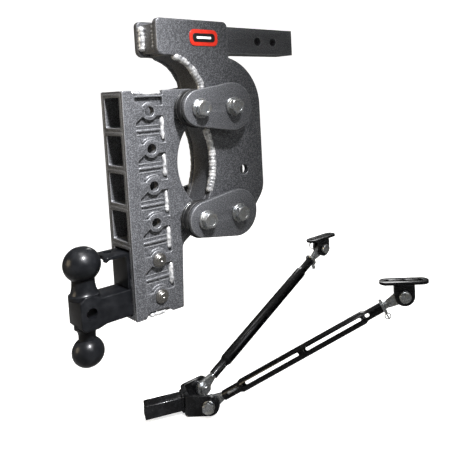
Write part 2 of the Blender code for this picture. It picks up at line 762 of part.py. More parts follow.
def build_yoke(parent):
    """A bent plate with two ears, each in line with its strut."""
    offset = JAW_T / 2 + GAP + YOKE_T / 2
    half_plan = []
    for side in (1.0, -1.0):
        ahead = Vector((math.cos(STRUT_SPREAD), side * math.sin(STRUT_SPREAD)))
        across = Vector((-side * math.sin(STRUT_SPREAD), math.cos(STRUT_SPREAD))) * side
        at_bolt = Vector((YOKE_BOLT_A, side * YOKE_BOLT_B)) + across * offset
        tip = at_bolt + ahead * (YOKE_H / 2)
        bend = at_bolt - ahead * ((at_bolt.x - YOKE_T / 2) / ahead.x)
        half_plan.append((tip, bend, ahead, across, at_bolt))
    (tip_l, bend_l, ahead_l, across_l, at_l), (tip_r, bend_r, ahead_r, across_r, at_r) = half_plan
    t = YOKE_T / 2
    inner_l = bend_l - across_l * t + ahead_l * t
    inner_r = bend_r - across_r * t + ahead_r * t
    plan = fillet([
        (*(tip_l - across_l * t), 0.0), (*(tip_l + across_l * t), 0.0),
        (*(bend_l + across_l * t - ahead_l * 0.002), 0.010), (*(bend_r + across_r * t - ahead_r * 0.002), 0.010),
        (*(tip_r + across_r * t), 0.0), (*(tip_r - across_r * t), 0.0),
        (*inner_r, 0.003), (*inner_l, 0.003),
    ], 4)
    yoke = flat_outline("yoke", [plan], YOKE_H, Matrix.Identity(4))
    for tip, bend, ahead, across, at_bolt in half_plan:
        rounded = fillet([
            (-0.200, -YOKE_H, 0.0), (0.200, -YOKE_H, 0.0), (0.200, YOKE_H, 0.0), (-0.200, YOKE_H, 0.0),
        ])
        gone = [rounded, arc(0, 0, YOKE_H / 2, 90.0, -90.0, 10) + [(-0.150, -YOKE_H / 2), (-0.150, YOKE_H / 2)]]
        frame = Matrix((
            (ahead.x, 0, ahead.y, at_bolt.x), (ahead.y, 0, -ahead.x, at_bolt.y),
            (0, 1, 0, 0), (0, 0, 0, 1),
        ))
        corner = flat_outline("ear_end", gone, YOKE_T * 3, frame)
        cut(yoke, corner)
        ends = (at_bolt - across * 0.02, at_bolt + across * 0.02)
        cut(yoke, cylinder("cut", JAW_BOLT_R + GAP, (*ends[0], 0), (*ends[1], 0), 16))
    link_part(yoke, "stabilizer_yoke", "gloss_black", parent, local=True)


def build_yoke_bolt(word, side, bolt_matrix, base, parent):
    """A bolt through the ear and the jaw, with its nut inside the yoke."""
    local = base.inverted() @ bolt_matrix @ Matrix.Rotation(STRUT_RISE, 4, "Y")
    ear_face = JAW_T / 2 + GAP + YOKE_T + GAP
    jaw_face = JAW_T / 2 + GAP
    washer = 0.0025
    bolt = cylinder("bolt", JAW_BOLT_R, (0, -side * (jaw_face + 0.013), 0), (0, side * (ear_face + 0.001), 0), 16)
    unite(bolt, cylinder("washer", KIT_HEAD_AF * 0.56, (0, side * ear_face, 0), (0, side * (ear_face + washer), 0)))
    head = hexagon(
        "head", KIT_HEAD_AF, (0, side * (ear_face + washer - 0.0005), 0),
        (0, side * (ear_face + washer + KIT_HEAD_H), 0),
    )
    unite(bolt, head)
    nut = hexagon("nut", KIT_HEAD_AF, (0, -side * jaw_face, 0), (0, -side * (jaw_face + 0.010), 0))
    unite(bolt, nut)
    bolt = solid_of(bolt)
    bolt.data.transform(local)
    link_part(bolt, "yoke_bolt_" + word, "zinc", parent, local=True)


def eye_plate(name, x_eye, x_stem, hole_r):
    """A flat eye that tapers to a stem, in the strut's XZ plane."""
    sign = 1.0 if x_stem > x_eye else -1.0
    turn = 0.0 if sign > 0 else 180.0
    eye = arc(x_eye, 0, JAW_R, 60.0 + turn, 300.0 + turn, 12)
    stem = [(x_stem, -sign * ROD_R * 0.95), (x_stem, sign * ROD_R * 0.95)]
    place = Matrix.Rotation(math.pi / 2, 4, "X")
    return flat_outline(name, [eye + stem, circle(x_eye, 0, hole_r, 16)], JAW_T, place)


def build_strut(word, side, parents):
    jaw_parent, body_parent, eye_parent = parents
    rod_start = BODY_START - 0.006
    jaw = eye_plate("jaw", 0.0, rod_start + 0.004, JAW_BOLT_R + RUN)
    rod_end = BODY_START + JAW_ROD_IN_BODY
    unite(jaw, cylinder("rod", ROD_R, (rod_start, 0, 0), (rod_end, 0, 0), 16))
    link_part(jaw, "strut_jaw_" + word, "zinc", jaw_parent, local=True)

    profile = [
        (0.0, BODY_END), (COLLAR_R, BODY_END), (COLLAR_R, BODY_END - COLLAR_L + 0.008),
        (BODY_R, BODY_END - COLLAR_L), (BODY_R, BODY_START + COLLAR_L),
        (COLLAR_R, BODY_START + COLLAR_L - 0.008), (COLLAR_R, BODY_START), (0.0, BODY_START),
    ]
    body = turned("turnbuckle", profile, 16)
    body.rotation_euler = (0, math.pi / 2, 0)
    body = solid_of(body)
    ends = ((BODY_START - 0.01, 0, 0), (BODY_END + 0.01, 0, 0))
    cut(body, cylinder("cut", ROD_R + RUN, *ends, 16))
    middle = (BODY_START + BODY_END) / 2
    half = BODY_SLOT_W / 2
    for low, high in (
        (BODY_START + 0.012, BODY_START + COLLAR_L - 0.006), (BODY_START + COLLAR_L + 0.004, middle - 0.006),
        (middle + 0.006, BODY_END - COLLAR_L - 0.004), (BODY_END - COLLAR_L + 0.003, BODY_END - COLLAR_L + 0.016),
    ):
        slot = box("slot", (low, -BODY_R * 2, -half), (high, BODY_R * 2, half))
        slot.rotation_euler.x = SLOT_ROLL[word]
        cut(body, slot)
    link_part(body, "turnbuckle_" + word, "gloss_black", body_parent, local=True)

    eye = eye_plate("eye", STRUT_LENGTH, BODY_END + 0.014, BRACKET_PIN_R + RUN)
    unite(eye, cylinder("rod", ROD_R, (BODY_END - ROD_IN_BODY, 0, 0), (BODY_END + 0.017, 0, 0), 16))
    link_part(eye, "strut_eye_" + word, "zinc", eye_parent, local=True)

    ring_x = BODY_END + GAP
    ring = cylinder("ring", RING_R, (ring_x, 0, 0), (ring_x + RING_T, 0, 0), 24)
    unite(ring, box("tab", (ring_x, -0.004, -RING_R - 0.014), (ring_x + 0.0022, 0.004, -RING_R + 0.004)))
    cut(ring, cylinder("cut", ROD_R + RUN, (ring_x - 0.01, 0, 0), (ring_x + 0.02, 0, 0), 16))
    link_part(ring, "lock_ring_" + word, "zinc", body_parent, local=True)


def build_bracket(word, side, parent):
    """A three-hole plate with two ears, its pin and the pin's hairpin clip."""
    plate_low = BRACKET_RISE - PLATE_THICK
    end = PLATE_L / 2 - PLATE_W / 2
    outline = arc(end, 0, PLATE_W / 2, -90.0, 90.0, 8) + arc(-end, 0, PLATE_W / 2, 90.0, 270.0, 8)
    loops = [outline]
    for i in (-1, 0, 1):
        loops.append(circle(i * PLATE_HOLE_PITCH, 0, PLATE_HOLE_R, 12))
    place = Matrix.Translation((0, 0, plate_low + PLATE_THICK / 2))
    bracket = flat_outline("bracket", loops, PLATE_THICK, place)
    gap = JAW_T / 2 + RUN
    for s in (-1.0, 1.0):
        ear = arc(0, 0, EAR_R, 180.0, 360.0, 10) + [(EAR_R, plate_low + 0.002), (-EAR_R, plate_low + 0.002)]
        low, high = span(s, gap, gap + EAR_T)
        unite(bracket, side_plate("ear", [ear, circle(0, 0, BRACKET_PIN_R + GAP, 16)], low, high))
    link_part(bracket, "frame_bracket_" + word, "gloss_black", parent, local=True)

    face = gap + EAR_T + GAP
    tail = face + 0.016
    profile = [
        (0.0, 0.010), (BRACKET_PIN_HEAD_R * 0.8, 0.010), (BRACKET_PIN_HEAD_R, 0.008),
        (BRACKET_PIN_HEAD_R, 0.0), (BRACKET_PIN_R, 0.0), (BRACKET_PIN_R, -face - tail + 0.002),
        (BRACKET_PIN_R * 0.75, -face - tail), (0.0, -face - tail),
    ]
    pin = turned("pin", profile, 16)
    pin.location = (0, -face, 0)
    pin.rotation_euler = (math.pi / 2, 0, 0)
    pin = solid_of(pin)
    clip_y = face + 0.008
    clip_hole = cylinder("cut", CLIP_WIRE_R + GAP, (0, clip_y, -0.02), (0, clip_y, 0.02), 8)
    cut(pin, clip_hole)
    link_part(pin, "bracket_pin_" + word, "zinc", parent, local=True)

    wire = bpy.data.curves.new("clip", "CURVE")
    wire.dimensions = "3D"
    wire.bevel_depth = CLIP_WIRE_R
    wire.bevel_resolution = 1
    wire.use_fill_caps = True
    spline = wire.splines.new("POLY")
    stand = BRACKET_PIN_R + CLIP_WIRE_R + GAP
    points = [(clip_y, -stand - 0.004), (clip_y, stand + 0.001), (clip_y + 0.0025, stand + 0.0035)]
    loop_y = clip_y + CLIP_LOOP - stand * 0.7
    points.append((clip_y + 0.0080, stand + 0.0030))
    for i in range(9):
        a = math.radians(75.0 - 150.0 * i / 8)
        points.append((loop_y + stand * 0.7 * math.cos(a), stand * 0.7 * math.sin(a)))
    points.append((clip_y + 0.0120, -stand))
    spline.points.add(len(points) - 1)
    for point, (y, z) in zip(spline.points, points):
        point.co = (0.0, y, z, 1.0)
    holder = bpy.data.objects.new("clip", wire)
    bpy.context.scene.collection.objects.link(holder)
    bpy.context.view_layer.update()
    graph = bpy.context.evaluated_depsgraph_get()
    mesh = bpy.data.meshes.new_from_object(holder.evaluated_get(graph))
    bpy.data.objects.remove(holder, do_unlink=True)
    bm = bmesh.new()
    bm.from_mesh(mesh)
    bmesh.ops.remove_doubles(bm, verts=bm.verts, dist=0.00001)
    bmesh.ops.recalc_face_normals(bm, faces=bm.faces)
    clip = bmesh_object("clip", bm)
    link_part(clip, "bracket_clip_" + word, "zinc", parent, local=True)


def build_kit(base_empty, base):
    build_insert_tube(base_empty)
    build_yoke(base_empty)
    for word, (side, bolt, pin) in strut_frames(base).items():
        build_yoke_bolt(word, side, bolt, base, base_empty)
        jaw_empty = make_empty("strut_pivot_" + word, bolt, base_empty)
        body_empty = make_empty("turnbuckle_axis_" + word, bolt, jaw_empty)
        eye_empty = make_empty("strut_eye_axis_" + word, bolt, jaw_empty)
        pin_empty = make_empty("bracket_pivot_" + word, pin, eye_empty)
        build_strut(word, side, (jaw_empty, body_empty, eye_empty))
        build_bracket(word, side, pin_empty)


def build_hitch():
    build_shank()
    build_frame_plates()
    build_frame_web()
    build_badge()
    build_bushes("frame", FRAME_AXIS_X, None)
    upper = make_empty("upper_pivot", Matrix.Translation((FRAME_AXIS_X, 0, UPPER_AXIS_Z)))
    lower = make_empty("lower_pivot", Matrix.Translation((FRAME_AXIS_X, 0, LOWER_AXIS_Z)))
    build_links("upper", UPPER_AXIS_Z, upper)
    build_links("lower", LOWER_AXIS_Z, lower)
    tower = make_empty("tower_pivot", Matrix.Translation((TOWER_AXIS_X, 0, UPPER_AXIS_Z)), upper)
    build_bushes("tower", TOWER_AXIS_X, tower)
    build_tower_plates(tower)
    build_receiver_tubes(tower)
    build_ball_mount(tower)
    build_pintle_lock(tower)
    build_hitch_pin("ball_mount_pin", LOW_HOLE_Z, tower)
    build_hitch_pin("pintle_lock_pin", NEXT_HOLE_Z, tower)


clear_scene()
PARTS = make_collection("weight_distribution_hitch")
TOOLS = make_collection("cutters")
KIT_BASE = Matrix.Translation((KIT_X, KIT_Y, KIT_Z)) @ Matrix.Rotation(KIT_YAW, 4, "Z")
build_hitch()
build_kit(make_empty("stabilizer_origin", KIT_BASE), KIT_BASE)
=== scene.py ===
"""Looks of a drop hitch and its stabiliser struts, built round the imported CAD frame.

Metres, +Z up, +X towards the tow vehicle and -Y to its right, as in the frame.
Each operator below makes one group of pieces; the panel lists them all.
"""
import json
import math
import random

import bmesh
import bpy
from mathutils import Matrix, Vector, noise


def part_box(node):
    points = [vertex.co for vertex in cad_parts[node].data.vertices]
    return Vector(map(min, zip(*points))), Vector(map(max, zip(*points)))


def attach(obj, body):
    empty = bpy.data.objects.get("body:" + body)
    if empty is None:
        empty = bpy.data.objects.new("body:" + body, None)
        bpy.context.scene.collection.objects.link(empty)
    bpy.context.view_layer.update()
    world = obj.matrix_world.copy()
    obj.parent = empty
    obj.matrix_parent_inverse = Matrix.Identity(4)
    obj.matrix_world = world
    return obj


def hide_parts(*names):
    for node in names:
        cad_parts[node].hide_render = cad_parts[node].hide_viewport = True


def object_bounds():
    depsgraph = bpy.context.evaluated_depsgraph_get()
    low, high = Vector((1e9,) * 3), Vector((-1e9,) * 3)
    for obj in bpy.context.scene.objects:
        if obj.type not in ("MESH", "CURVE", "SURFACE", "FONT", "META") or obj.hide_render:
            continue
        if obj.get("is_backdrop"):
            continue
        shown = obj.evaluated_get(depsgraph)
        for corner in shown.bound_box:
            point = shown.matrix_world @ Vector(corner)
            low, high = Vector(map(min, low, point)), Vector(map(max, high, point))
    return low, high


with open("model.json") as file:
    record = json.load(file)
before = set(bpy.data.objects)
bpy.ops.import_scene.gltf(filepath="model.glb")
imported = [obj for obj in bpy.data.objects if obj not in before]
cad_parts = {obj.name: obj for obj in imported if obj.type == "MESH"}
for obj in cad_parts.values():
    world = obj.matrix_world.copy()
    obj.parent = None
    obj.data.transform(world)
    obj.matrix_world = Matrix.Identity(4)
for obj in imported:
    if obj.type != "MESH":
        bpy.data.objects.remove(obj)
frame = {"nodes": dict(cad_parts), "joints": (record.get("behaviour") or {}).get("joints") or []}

bl_info = {
    "name": "Drop Hitch Looks",
    "version": (1, 0, 0),
    "blender": (4, 5, 0),
    "location": "View3D > Sidebar > Hitch",
    "description": "Detailed pieces and finishes for a drop hitch and its strut kit",
    "category": "Object",
}

# ---- places that the frame gives ---------------------------------------------
JOINTS = {joint["name"]: joint for joint in frame["joints"]}
FRAME_AXIS = Vector(JOINTS["upper_fold"]["pos_m"])
FRAME_X = FRAME_AXIS.x
UPPER_Z = FRAME_AXIS.z
LOWER_Z = JOINTS["lower_fold"]["pos_m"][2]
TOWER_AXIS_X = JOINTS["tower_hinge"]["pos_m"][0]
SHANK_LOW, SHANK_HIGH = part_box("shank")
PLATE_LOW, PLATE_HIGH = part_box("frame_plate_left")
SIDE_LOW, SIDE_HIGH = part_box("tower_plate_left")
TUBE_LOW, TUBE_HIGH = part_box("receiver_tube_1")
LINK_LOW, LINK_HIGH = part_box("upper_link_left")
BUSH_LOW, BUSH_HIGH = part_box("frame_bush_upper_left")
PIN_LOW, PIN_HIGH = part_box("ball_mount_pin")
TUBE_COUNT = 6
HOLE_X = (PIN_LOW.x + PIN_HIGH.x) / 2
TOP_HOLE_Z = (TUBE_LOW.z + TUBE_HIGH.z) / 2
LOW_HOLE_Z = (PIN_LOW.z + PIN_HIGH.z) / 2
PITCH = (TOP_HOLE_Z - LOW_HOLE_Z) / (TUBE_COUNT - 1)
TOWER_X = TUBE_LOW.x
TUBE_HALF = TUBE_HIGH.y
SIDES = (("right", -1.0), ("left", 1.0))
LEVELS = (("upper", UPPER_Z), ("lower", LOWER_Z))

# ---- sizes that several pieces share -----------------------------------------
TUBE_WALL = 0.00635
PIN_BORE = 0.0083
SHAFT_BORE = 0.0124
BALL_X = TOWER_X - 0.0692
BALL_R = 0.02937
ARM_HALF = TUBE_HALF - 0.00675
ARM_RISE = 0.0225
ARM_BACK_X = TOWER_X + 0.0700
NECK_X = FRAME_X - 0.0440
ARM_UNDER_Z = SHANK_LOW.z - 0.0051
POCKET_X = TOWER_X + 0.0220
GAP = 0.0003
FLAT_XZ = Matrix.Rotation(math.pi / 2, 4, "X")
END_ON = Matrix(((0, 0, 1, 0), (1, 0, 0, 0), (0, 1, 0, 0), (0, 0, 0, 1)))
SMOOTH_ANGLE = math.radians(35)
SLOTS = {
    "coat": "powder_coat", "weld": "powder_coat", "satin": "black_steel", "gloss": "gloss_black",
    "zinc": "zinc", "wire": "zinc", "rubber": "rubber", "badge": "badge", "badge_dark": "badge",
    "badge_white": "badge",
}


# ---- what a user may change --------------------------------------------------
class HitchFinishes(bpy.types.PropertyGroup):
    """Colours and grain of the finishes."""

    coat_colour: bpy.props.StringProperty(
        name="Coat", description="Hammered powder coat, as a hex colour", default="#3F4042")
    fleck_colour: bpy.props.StringProperty(
        name="Fleck", description="Metal flakes in the coat, as a hex colour", default="#7C7D80")
    fleck_size: bpy.props.FloatProperty(
        name="Fleck size", description="Width of a cluster of flakes", default=0.0017,
        unit="LENGTH")
    black_colour: bpy.props.StringProperty(
        name="Satin black", description="Ball mount's coat, as a hex colour", default="#0C0D0F")
    gloss_colour: bpy.props.StringProperty(
        name="Gloss black", description="Strut kit's coat, as a hex colour", default="#080809")
    zinc_colour: bpy.props.StringProperty(
        name="Zinc", description="Plating on bolts, rods and rings, as a hex colour",
        default="#C4C8CB")
    weld_colour: bpy.props.StringProperty(
        name="Weld", description="Weld beads, as a hex colour", default="#DADAD8")
    badge_colour: bpy.props.StringProperty(
        name="Badge", description="Badge enamel, as a hex colour", default="#C92C1C")


class HitchSizes(bpy.types.PropertyGroup):
    """Small sizes that the frame doesn't hold."""

    plate_edge: bpy.props.FloatProperty(
        name="Plate edge", description="Radius on the cut plates' edges", default=0.0016,
        unit="LENGTH")
    neck_bead: bpy.props.FloatProperty(
        name="Neck bead", description="Radius of the weld along the frame's neck", default=0.0068,
        unit="LENGTH")
    seam_bead: bpy.props.FloatProperty(
        name="Seam bead", description="Radius of the welds between the tubes", default=0.0038,
        unit="LENGTH")
    ripple: bpy.props.FloatProperty(
        name="Ripple", description="Distance between two ripples of a weld bead", default=0.0064,
        unit="LENGTH")
    thread_pitch: bpy.props.FloatProperty(
        name="Thread pitch", description="Distance between two threads on a rod", default=0.00231,
        unit="LENGTH")


class HitchStage(bpy.types.PropertyGroup):
    """Floor and lights."""

    floor_gap: bpy.props.FloatProperty(
        name="Floor gap", description="From the lowest piece down to the floor", default=0.004,
        unit="LENGTH")
    key_power: bpy.props.FloatProperty(
        name="Key light", description="Power of the large light", default=30.0, unit="POWER")


# ---- working with operators --------------------------------------------------
def take(piece):
    """Select one object alone and make it the active one."""
    bpy.ops.object.select_all(action="DESELECT")
    piece.select_set(True)
    bpy.context.view_layer.objects.active = piece


def apply_modifier(piece, modifier):
    take(piece)
    bpy.ops.object.modifier_apply(modifier=modifier.name)


def settle(piece, place=None):
    """Move a piece by a matrix and put that move into its mesh."""
    if place is not None:
        piece.matrix_world = place @ piece.matrix_world
    take(piece)
    bpy.ops.object.transform_apply(location=True, rotation=True, scale=True)


def clean(piece, distance=0.00001):
    """Merge doubled points and turn every face outwards."""
    take(piece)
    bpy.ops.object.mode_set(mode="EDIT")
    bpy.ops.mesh.select_all(action="SELECT")
    bpy.ops.mesh.remove_doubles(threshold=distance)
    bpy.ops.mesh.normals_make_consistent(inside=False)
    bpy.ops.object.mode_set(mode="OBJECT")


def smooth(piece, angle=SMOOTH_ANGLE):
    take(piece)
    bpy.ops.object.shade_smooth_by_angle(angle=angle)


def round_edges(piece, width, segments=3, angle=math.radians(40)):
    bevel = piece.modifiers.new("edges", "BEVEL")
    bevel.width = width
    bevel.segments = segments
    bevel.limit_method = "ANGLE"
    bevel.angle_limit = angle
    bevel.harden_normals = False
    apply_modifier(piece, bevel)


def combine(piece, tool, operation):
    """Cut, join or intersect a piece with a tool, and throw the tool away."""
    mod = piece.modifiers.new("combine", "BOOLEAN")
    mod.operation = operation
    mod.solver = "EXACT"
    mod.object = tool
    apply_modifier(piece, mod)
    discard(tool)


def cut(piece, tool):
    combine(piece, tool, "DIFFERENCE")


def join(pieces):
    """Put several objects into the first one's mesh."""
    bpy.ops.object.select_all(action="DESELECT")
    for piece in pieces:
        piece.select_set(True)
    bpy.context.view_layer.objects.active = pieces[0]
    bpy.ops.object.join()
    return pieces[0]


def copy_of(piece, place=None):
    twin = piece.copy()
    twin.data = piece.data.copy()
    bpy.context.scene.collection.objects.link(twin)
    if place is not None:
        settle(twin, place)
        if place.determinant() < 0:
            clean(twin)
            smooth(twin)
    return twin


def discard(*pieces):
    for piece in pieces:
        bpy.data.objects.remove(piece, do_unlink=True)


def finish_piece(piece, name, body, look, *stands_for):
    """Name a piece, give it its finish, and tie it to its body and CAD nodes.

    The look is a finish's name, or a stainless steel made for this piece alone.
    """
    if isinstance(look, bpy.types.Material):
        material, slot = look, "stainless"
    else:
        material, slot = finish(look), SLOTS[look]
    piece.name = name
    piece.data.name = name
    piece.data.materials.clear()
    piece.data.materials.append(material)
    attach(piece, body)
    if stands_for:
        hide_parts(*stands_for)


# ---- shapes ------------------------------------------------------------------
def arc(cx, cy, radius, start, end, steps):
    """Points on an arc, between two angles in degrees."""
    points = []
    for i in range(steps + 1):
        a = math.radians(start + (end - start) * i / steps)
        points.append((cx + radius * math.cos(a), cy + radius * math.sin(a)))
    return points


def circle(cx, cy, radius, sides=40):
    return arc(cx, cy, radius, 0.0, 360.0 * (sides - 1) / sides, sides - 1)


def swept(centre, start, angle, steps):
    """Points that a start, seen from the centre, passes as it turns through an angle."""
    points = []
    for i in range(steps + 1):
        turn = -angle * i / steps
        c, s = math.cos(turn), math.sin(turn)
        points.append((centre.x + start.x * c - start.y * s, centre.y + start.x * s + start.y * c))
    return points


def bow(first, last, sagitta, steps):
    """An arc between two points; a positive sagitta bows it to the right of travel."""
    a, b = Vector(first), Vector(last)
    half = (b - a).length / 2
    radius = (half * half + sagitta * sagitta) / (2 * abs(sagitta))
    run = (b - a).normalized()
    side = Vector((run.y, -run.x)) * (1 if sagitta > 0 else -1)
    centre = (a + b) / 2 + side * (abs(sagitta) - radius)
    start = a - centre
    return swept(centre, start, start.angle_signed(b - centre), steps)


def rounded(corners, steps=6):
    """A closed outline from (x, y, radius) corners."""
    points = []
    for i, (x, y, radius) in enumerate(corners):
        here = Vector((x, y))
        if radius <= 0.0:
            points.append((x, y))
            continue
        back = (Vector(corners[i - 1][:2]) - here).normalized()
        ahead = (Vector(corners[(i + 1) % len(corners)][:2]) - here).normalized()
        half = back.angle(ahead) / 2
        reach = radius / math.tan(half)
        centre = here + (back + ahead).normalized() * (radius / math.sin(half))
        first = here + back * reach - centre
        points += swept(centre, first, first.angle_signed(here + ahead * reach - centre), steps)
    return points


def rectangle(x, y, radius, steps=6, middle=(0.0, 0.0)):
    """A rectangle with round corners, from its half width and half height."""
    mx, my = middle
    return rounded([
        (mx - x, my - y, radius), (mx + x, my - y, radius), (mx + x, my + y, radius),
        (mx - x, my + y, radius)], steps)


def stadium(x0, x1, radius, y=0.0, steps=10):
    """A slot with round ends, from x0 to x1."""
    right = arc(x1 - radius, y, radius, -90.0, 90.0, steps)
    left = arc(x0 + radius, y, radius, 90.0, 270.0, steps)
    return right + left


def curve_mesh(lines, closed=False, **settings):
    """A mesh made from a curve, given as lines of (x, y, z, radius) points and its settings."""
    curve = bpy.data.curves.new("line", "CURVE")
    for key, value in settings.items():
        setattr(curve, key, value)
    for line in lines:
        spline = curve.splines.new("POLY")
        spline.points.add(len(line) - 1)
        for point, (x, y, z, radius) in zip(spline.points, line):
            point.co = (x, y, z, 1.0)
            point.radius = radius
        spline.use_cyclic_u = closed
    piece = bpy.data.objects.new("line", curve)
    bpy.context.scene.collection.objects.link(piece)
    take(piece)
    bpy.ops.object.convert(target="MESH")
    return piece


def flat_piece(loops, low, high, edge, place=FLAT_XZ):
    """Fill closed loops, make them a plate from low to high, and round its edges.

    With the usual place the loops lie in XZ and the thickness runs along Y.
    """
    piece = curve_mesh(
        [[(x, y, 0.0, 1.0) for x, y in loop] for loop in loops], True, dimensions="2D",
        fill_mode="BOTH", extrude=(high - low) / 2 - edge, bevel_depth=edge, bevel_resolution=2,
        offset=-edge)
    middle = (low + high) / 2
    shift = -middle if place is FLAT_XZ else middle
    settle(piece, place @ Matrix.Translation((0, 0, shift)))
    clean(piece)
    smooth(piece)
    return piece


def side_y(side, near, far):
    """The low and high Y of a plate between two distances from the middle."""
    return (near, far) if side > 0 else (-far, -near)


def along(start, end):
    """The matrix that stands a Z axis on start, pointing at end."""
    turn = Vector((0, 0, 1)).rotation_difference(Vector(end) - Vector(start))
    return Matrix.Translation(start) @ turn.to_matrix().to_4x4()


def rod(radius, start, end, sides=48):
    length = (Vector(end) - Vector(start)).length
    bpy.ops.object.select_all(action="DESELECT")
    bpy.ops.mesh.primitive_cylinder_add(vertices=sides, radius=radius, depth=length)
    piece = bpy.context.active_object
    settle(piece, along(start, end) @ Matrix.Translation((0, 0, length / 2)))
    return piece


def block(low, high, edge=0.0):
    bpy.ops.object.select_all(action="DESELECT")
    bpy.ops.mesh.primitive_cube_add(size=1.0)
    piece = bpy.context.active_object
    low, high = Vector(low), Vector(high)
    settle(piece, Matrix.Translation((low + high) / 2) @ Matrix.Diagonal((*(high - low), 1.0)))
    if edge > 0.0:
        round_edges(piece, edge)
    return piece


def turned(profile, steps=64, start=(0, 0, 0), end=(0, 0, 1)):
    """Spin a profile of (radius, distance from start) points about the axis to end."""
    shape = bmesh.new()
    verts = [shape.verts.new((r, 0.0, z)) for r, z in profile]
    for a, b in zip(verts, verts[1:]):
        shape.edges.new((a, b))
    mesh = bpy.data.meshes.new("turned")
    shape.to_mesh(mesh)
    shape.free()
    piece = bpy.data.objects.new("turned", mesh)
    bpy.context.scene.collection.objects.link(piece)
    take(piece)
    bpy.ops.object.mode_set(mode="EDIT")
    bpy.ops.mesh.select_all(action="SELECT")
    bpy.ops.mesh.spin(steps=steps, angle=2 * math.pi, center=(0, 0, 0), axis=(0, 0, 1))
    bpy.ops.object.mode_set(mode="OBJECT")
    clean(piece)
    settle(piece, along(start, end))
    clean(piece)
    smooth(piece)
    return piece


def chamfered(radius, z0, z1, chamfer):
    """The profile of a short round piece with both its rims chamfered."""
    return [
        (0.0, z0), (radius - chamfer, z0), (radius, z0 + chamfer), (radius, z1 - chamfer),
        (radius - chamfer, z1), (0.0, z1),
    ]


def hex_piece(flats, height, start, direction, dish=0.0):
    """A hexagon with its corners turned down at both ends, as on a bolt or nut."""
    corner = flats / math.sqrt(3)
    piece = rod(corner, (0, 0, 0), (0, 0, height), sides=6)
    face = flats * 0.49
    drop = (corner - face) * math.tan(math.radians(25)) * 1.2
    rim = corner * 1.02
    profile = [(0.0, 0.0), (face, 0.0), (rim, drop), (rim, height - drop), (face, height)]
    if dish > 0.0:
        profile += [(flats * 0.36, height), (flats * 0.34, height - dish)]
    profile.append((0.0, height - dish))
    combine(piece, turned(profile, 48), "INTERSECT")
    start = Vector(start)
    settle(piece, along(start, start + Vector(direction)))
    round_edges(piece, 0.0003, 2, math.radians(25))
    smooth(piece, math.radians(28))
    return piece


def spaced(path, gap):
    """Points at even distances along a path."""
    path = [Vector(p) for p in path]
    points = [path[0]]
    left = gap
    for a, b in zip(path, path[1:]):
        length = (b - a).length
        done = 0.0
        while length - done >= left:
            done += left
            points.append(a.lerp(b, done / length))
            left = gap
        left -= length - done
    if (points[-1] - path[-1]).length > gap * 0.3:
        points.append(path[-1])
    return points


def weld_bead(path, radius, ripple, seed, roughness=0.07):
    """A bead of overlapping puddles laid along a path, with its ends rounded off."""
    draw = random.Random(seed)
    places = spaced(path, ripple / 5)
    last = len(places) - 1
    wander = 0.0
    line = []
    for i, place in enumerate(places):
        puddle = (i % 5) / 5
        wander = wander * 0.8 + draw.uniform(-1, 1) * roughness * 0.5
        end = min(i, last - i) / 3
        taper = math.sqrt(min(1.0, (end + 0.05) * 0.95))
        line.append((*place, (0.80 + 0.22 * math.sqrt(1 - puddle) + wander) * taper))
    piece = curve_mesh(
        [line], dimensions="3D", bevel_depth=radius, bevel_resolution=4, use_fill_caps=True)
    clean(piece)
    for vertex in piece.data.vertices:
        lump = noise.noise(vertex.co / (ripple * 0.8) + Vector((seed, 0, 0)))
        vertex.co += vertex.normal * lump * radius * roughness
    smooth(piece, math.radians(60))
    return piece


# ---- finishes ----------------------------------------------------------------
def colour(text):
    """A hex sRGB colour as linear RGBA."""
    parts = [int(text[i:i + 2], 16) / 255 for i in (1, 3, 5)]
    linear = [p / 12.92 if p <= 0.04045 else ((p + 0.055) / 1.055) ** 2.4 for p in parts]
    return (*linear, 1.0)


def add_node(tree, kind, inputs=None, **settings):
    """Add a shader node, set its properties, and fill or link its inputs."""
    made = tree.nodes.new("ShaderNode" + kind)
    for key, value in settings.items():
        setattr(made, key, value)
    for key, value in (inputs or {}).items():
        if isinstance(value, bpy.types.NodeSocket):
            tree.links.new(value, made.inputs[key])
        else:
            made.inputs[key].default_value = value
    return made


def start_material(name, settings):
    """A material with its shader's plain values set; returns the parts to build on."""
    material = bpy.data.materials.new(name)
    material.use_nodes = True
    tree = material.node_tree
    shader = tree.nodes["Principled BSDF"]
    for key, value in settings.items():
        shader.inputs[key].default_value = value
    where = add_node(tree, "TexCoord").outputs["Object"]
    return material, tree, shader, where


def grain(tree, where, size, detail=3.0, rough=0.55):
    """Noise whose lumps are about size metres across."""
    settings = {"Vector": where, "Scale": 1.0 / size, "Detail": detail, "Roughness": rough}
    return add_node(tree, "TexNoise", settings).outputs["Fac"]


def spread(tree, value, low, high, to_low=0.0, to_high=1.0):
    """Stretch a value from one range to another, and clamp it there."""
    limits = {
        "Value": value, "From Min": low, "From Max": high, "To Min": to_low, "To Max": to_high}
    return add_node(tree, "MapRange", limits).outputs["Result"]


def blend(tree, factor, first, second):
    """A colour between two, by a factor; a Mix node's sockets 6, 7 and 2 are its colours."""
    return add_node(tree, "Mix", {0: factor, 6: first, 7: second}, data_type="RGBA").outputs[2]


def paint(tree, shader, base, roughness=None):
    tree.links.new(base, shader.inputs["Base Color"])
    if roughness is not None:
        tree.links.new(roughness, shader.inputs["Roughness"])


def bump(tree, shader, height, strength, distance, under=None):
    inputs = {"Height": height, "Strength": strength, "Distance": distance}
    if under is not None:
        inputs["Normal"] = under
    normal = add_node(tree, "Bump", inputs).outputs["Normal"]
    tree.links.new(normal, shader.inputs["Normal"])
    return normal


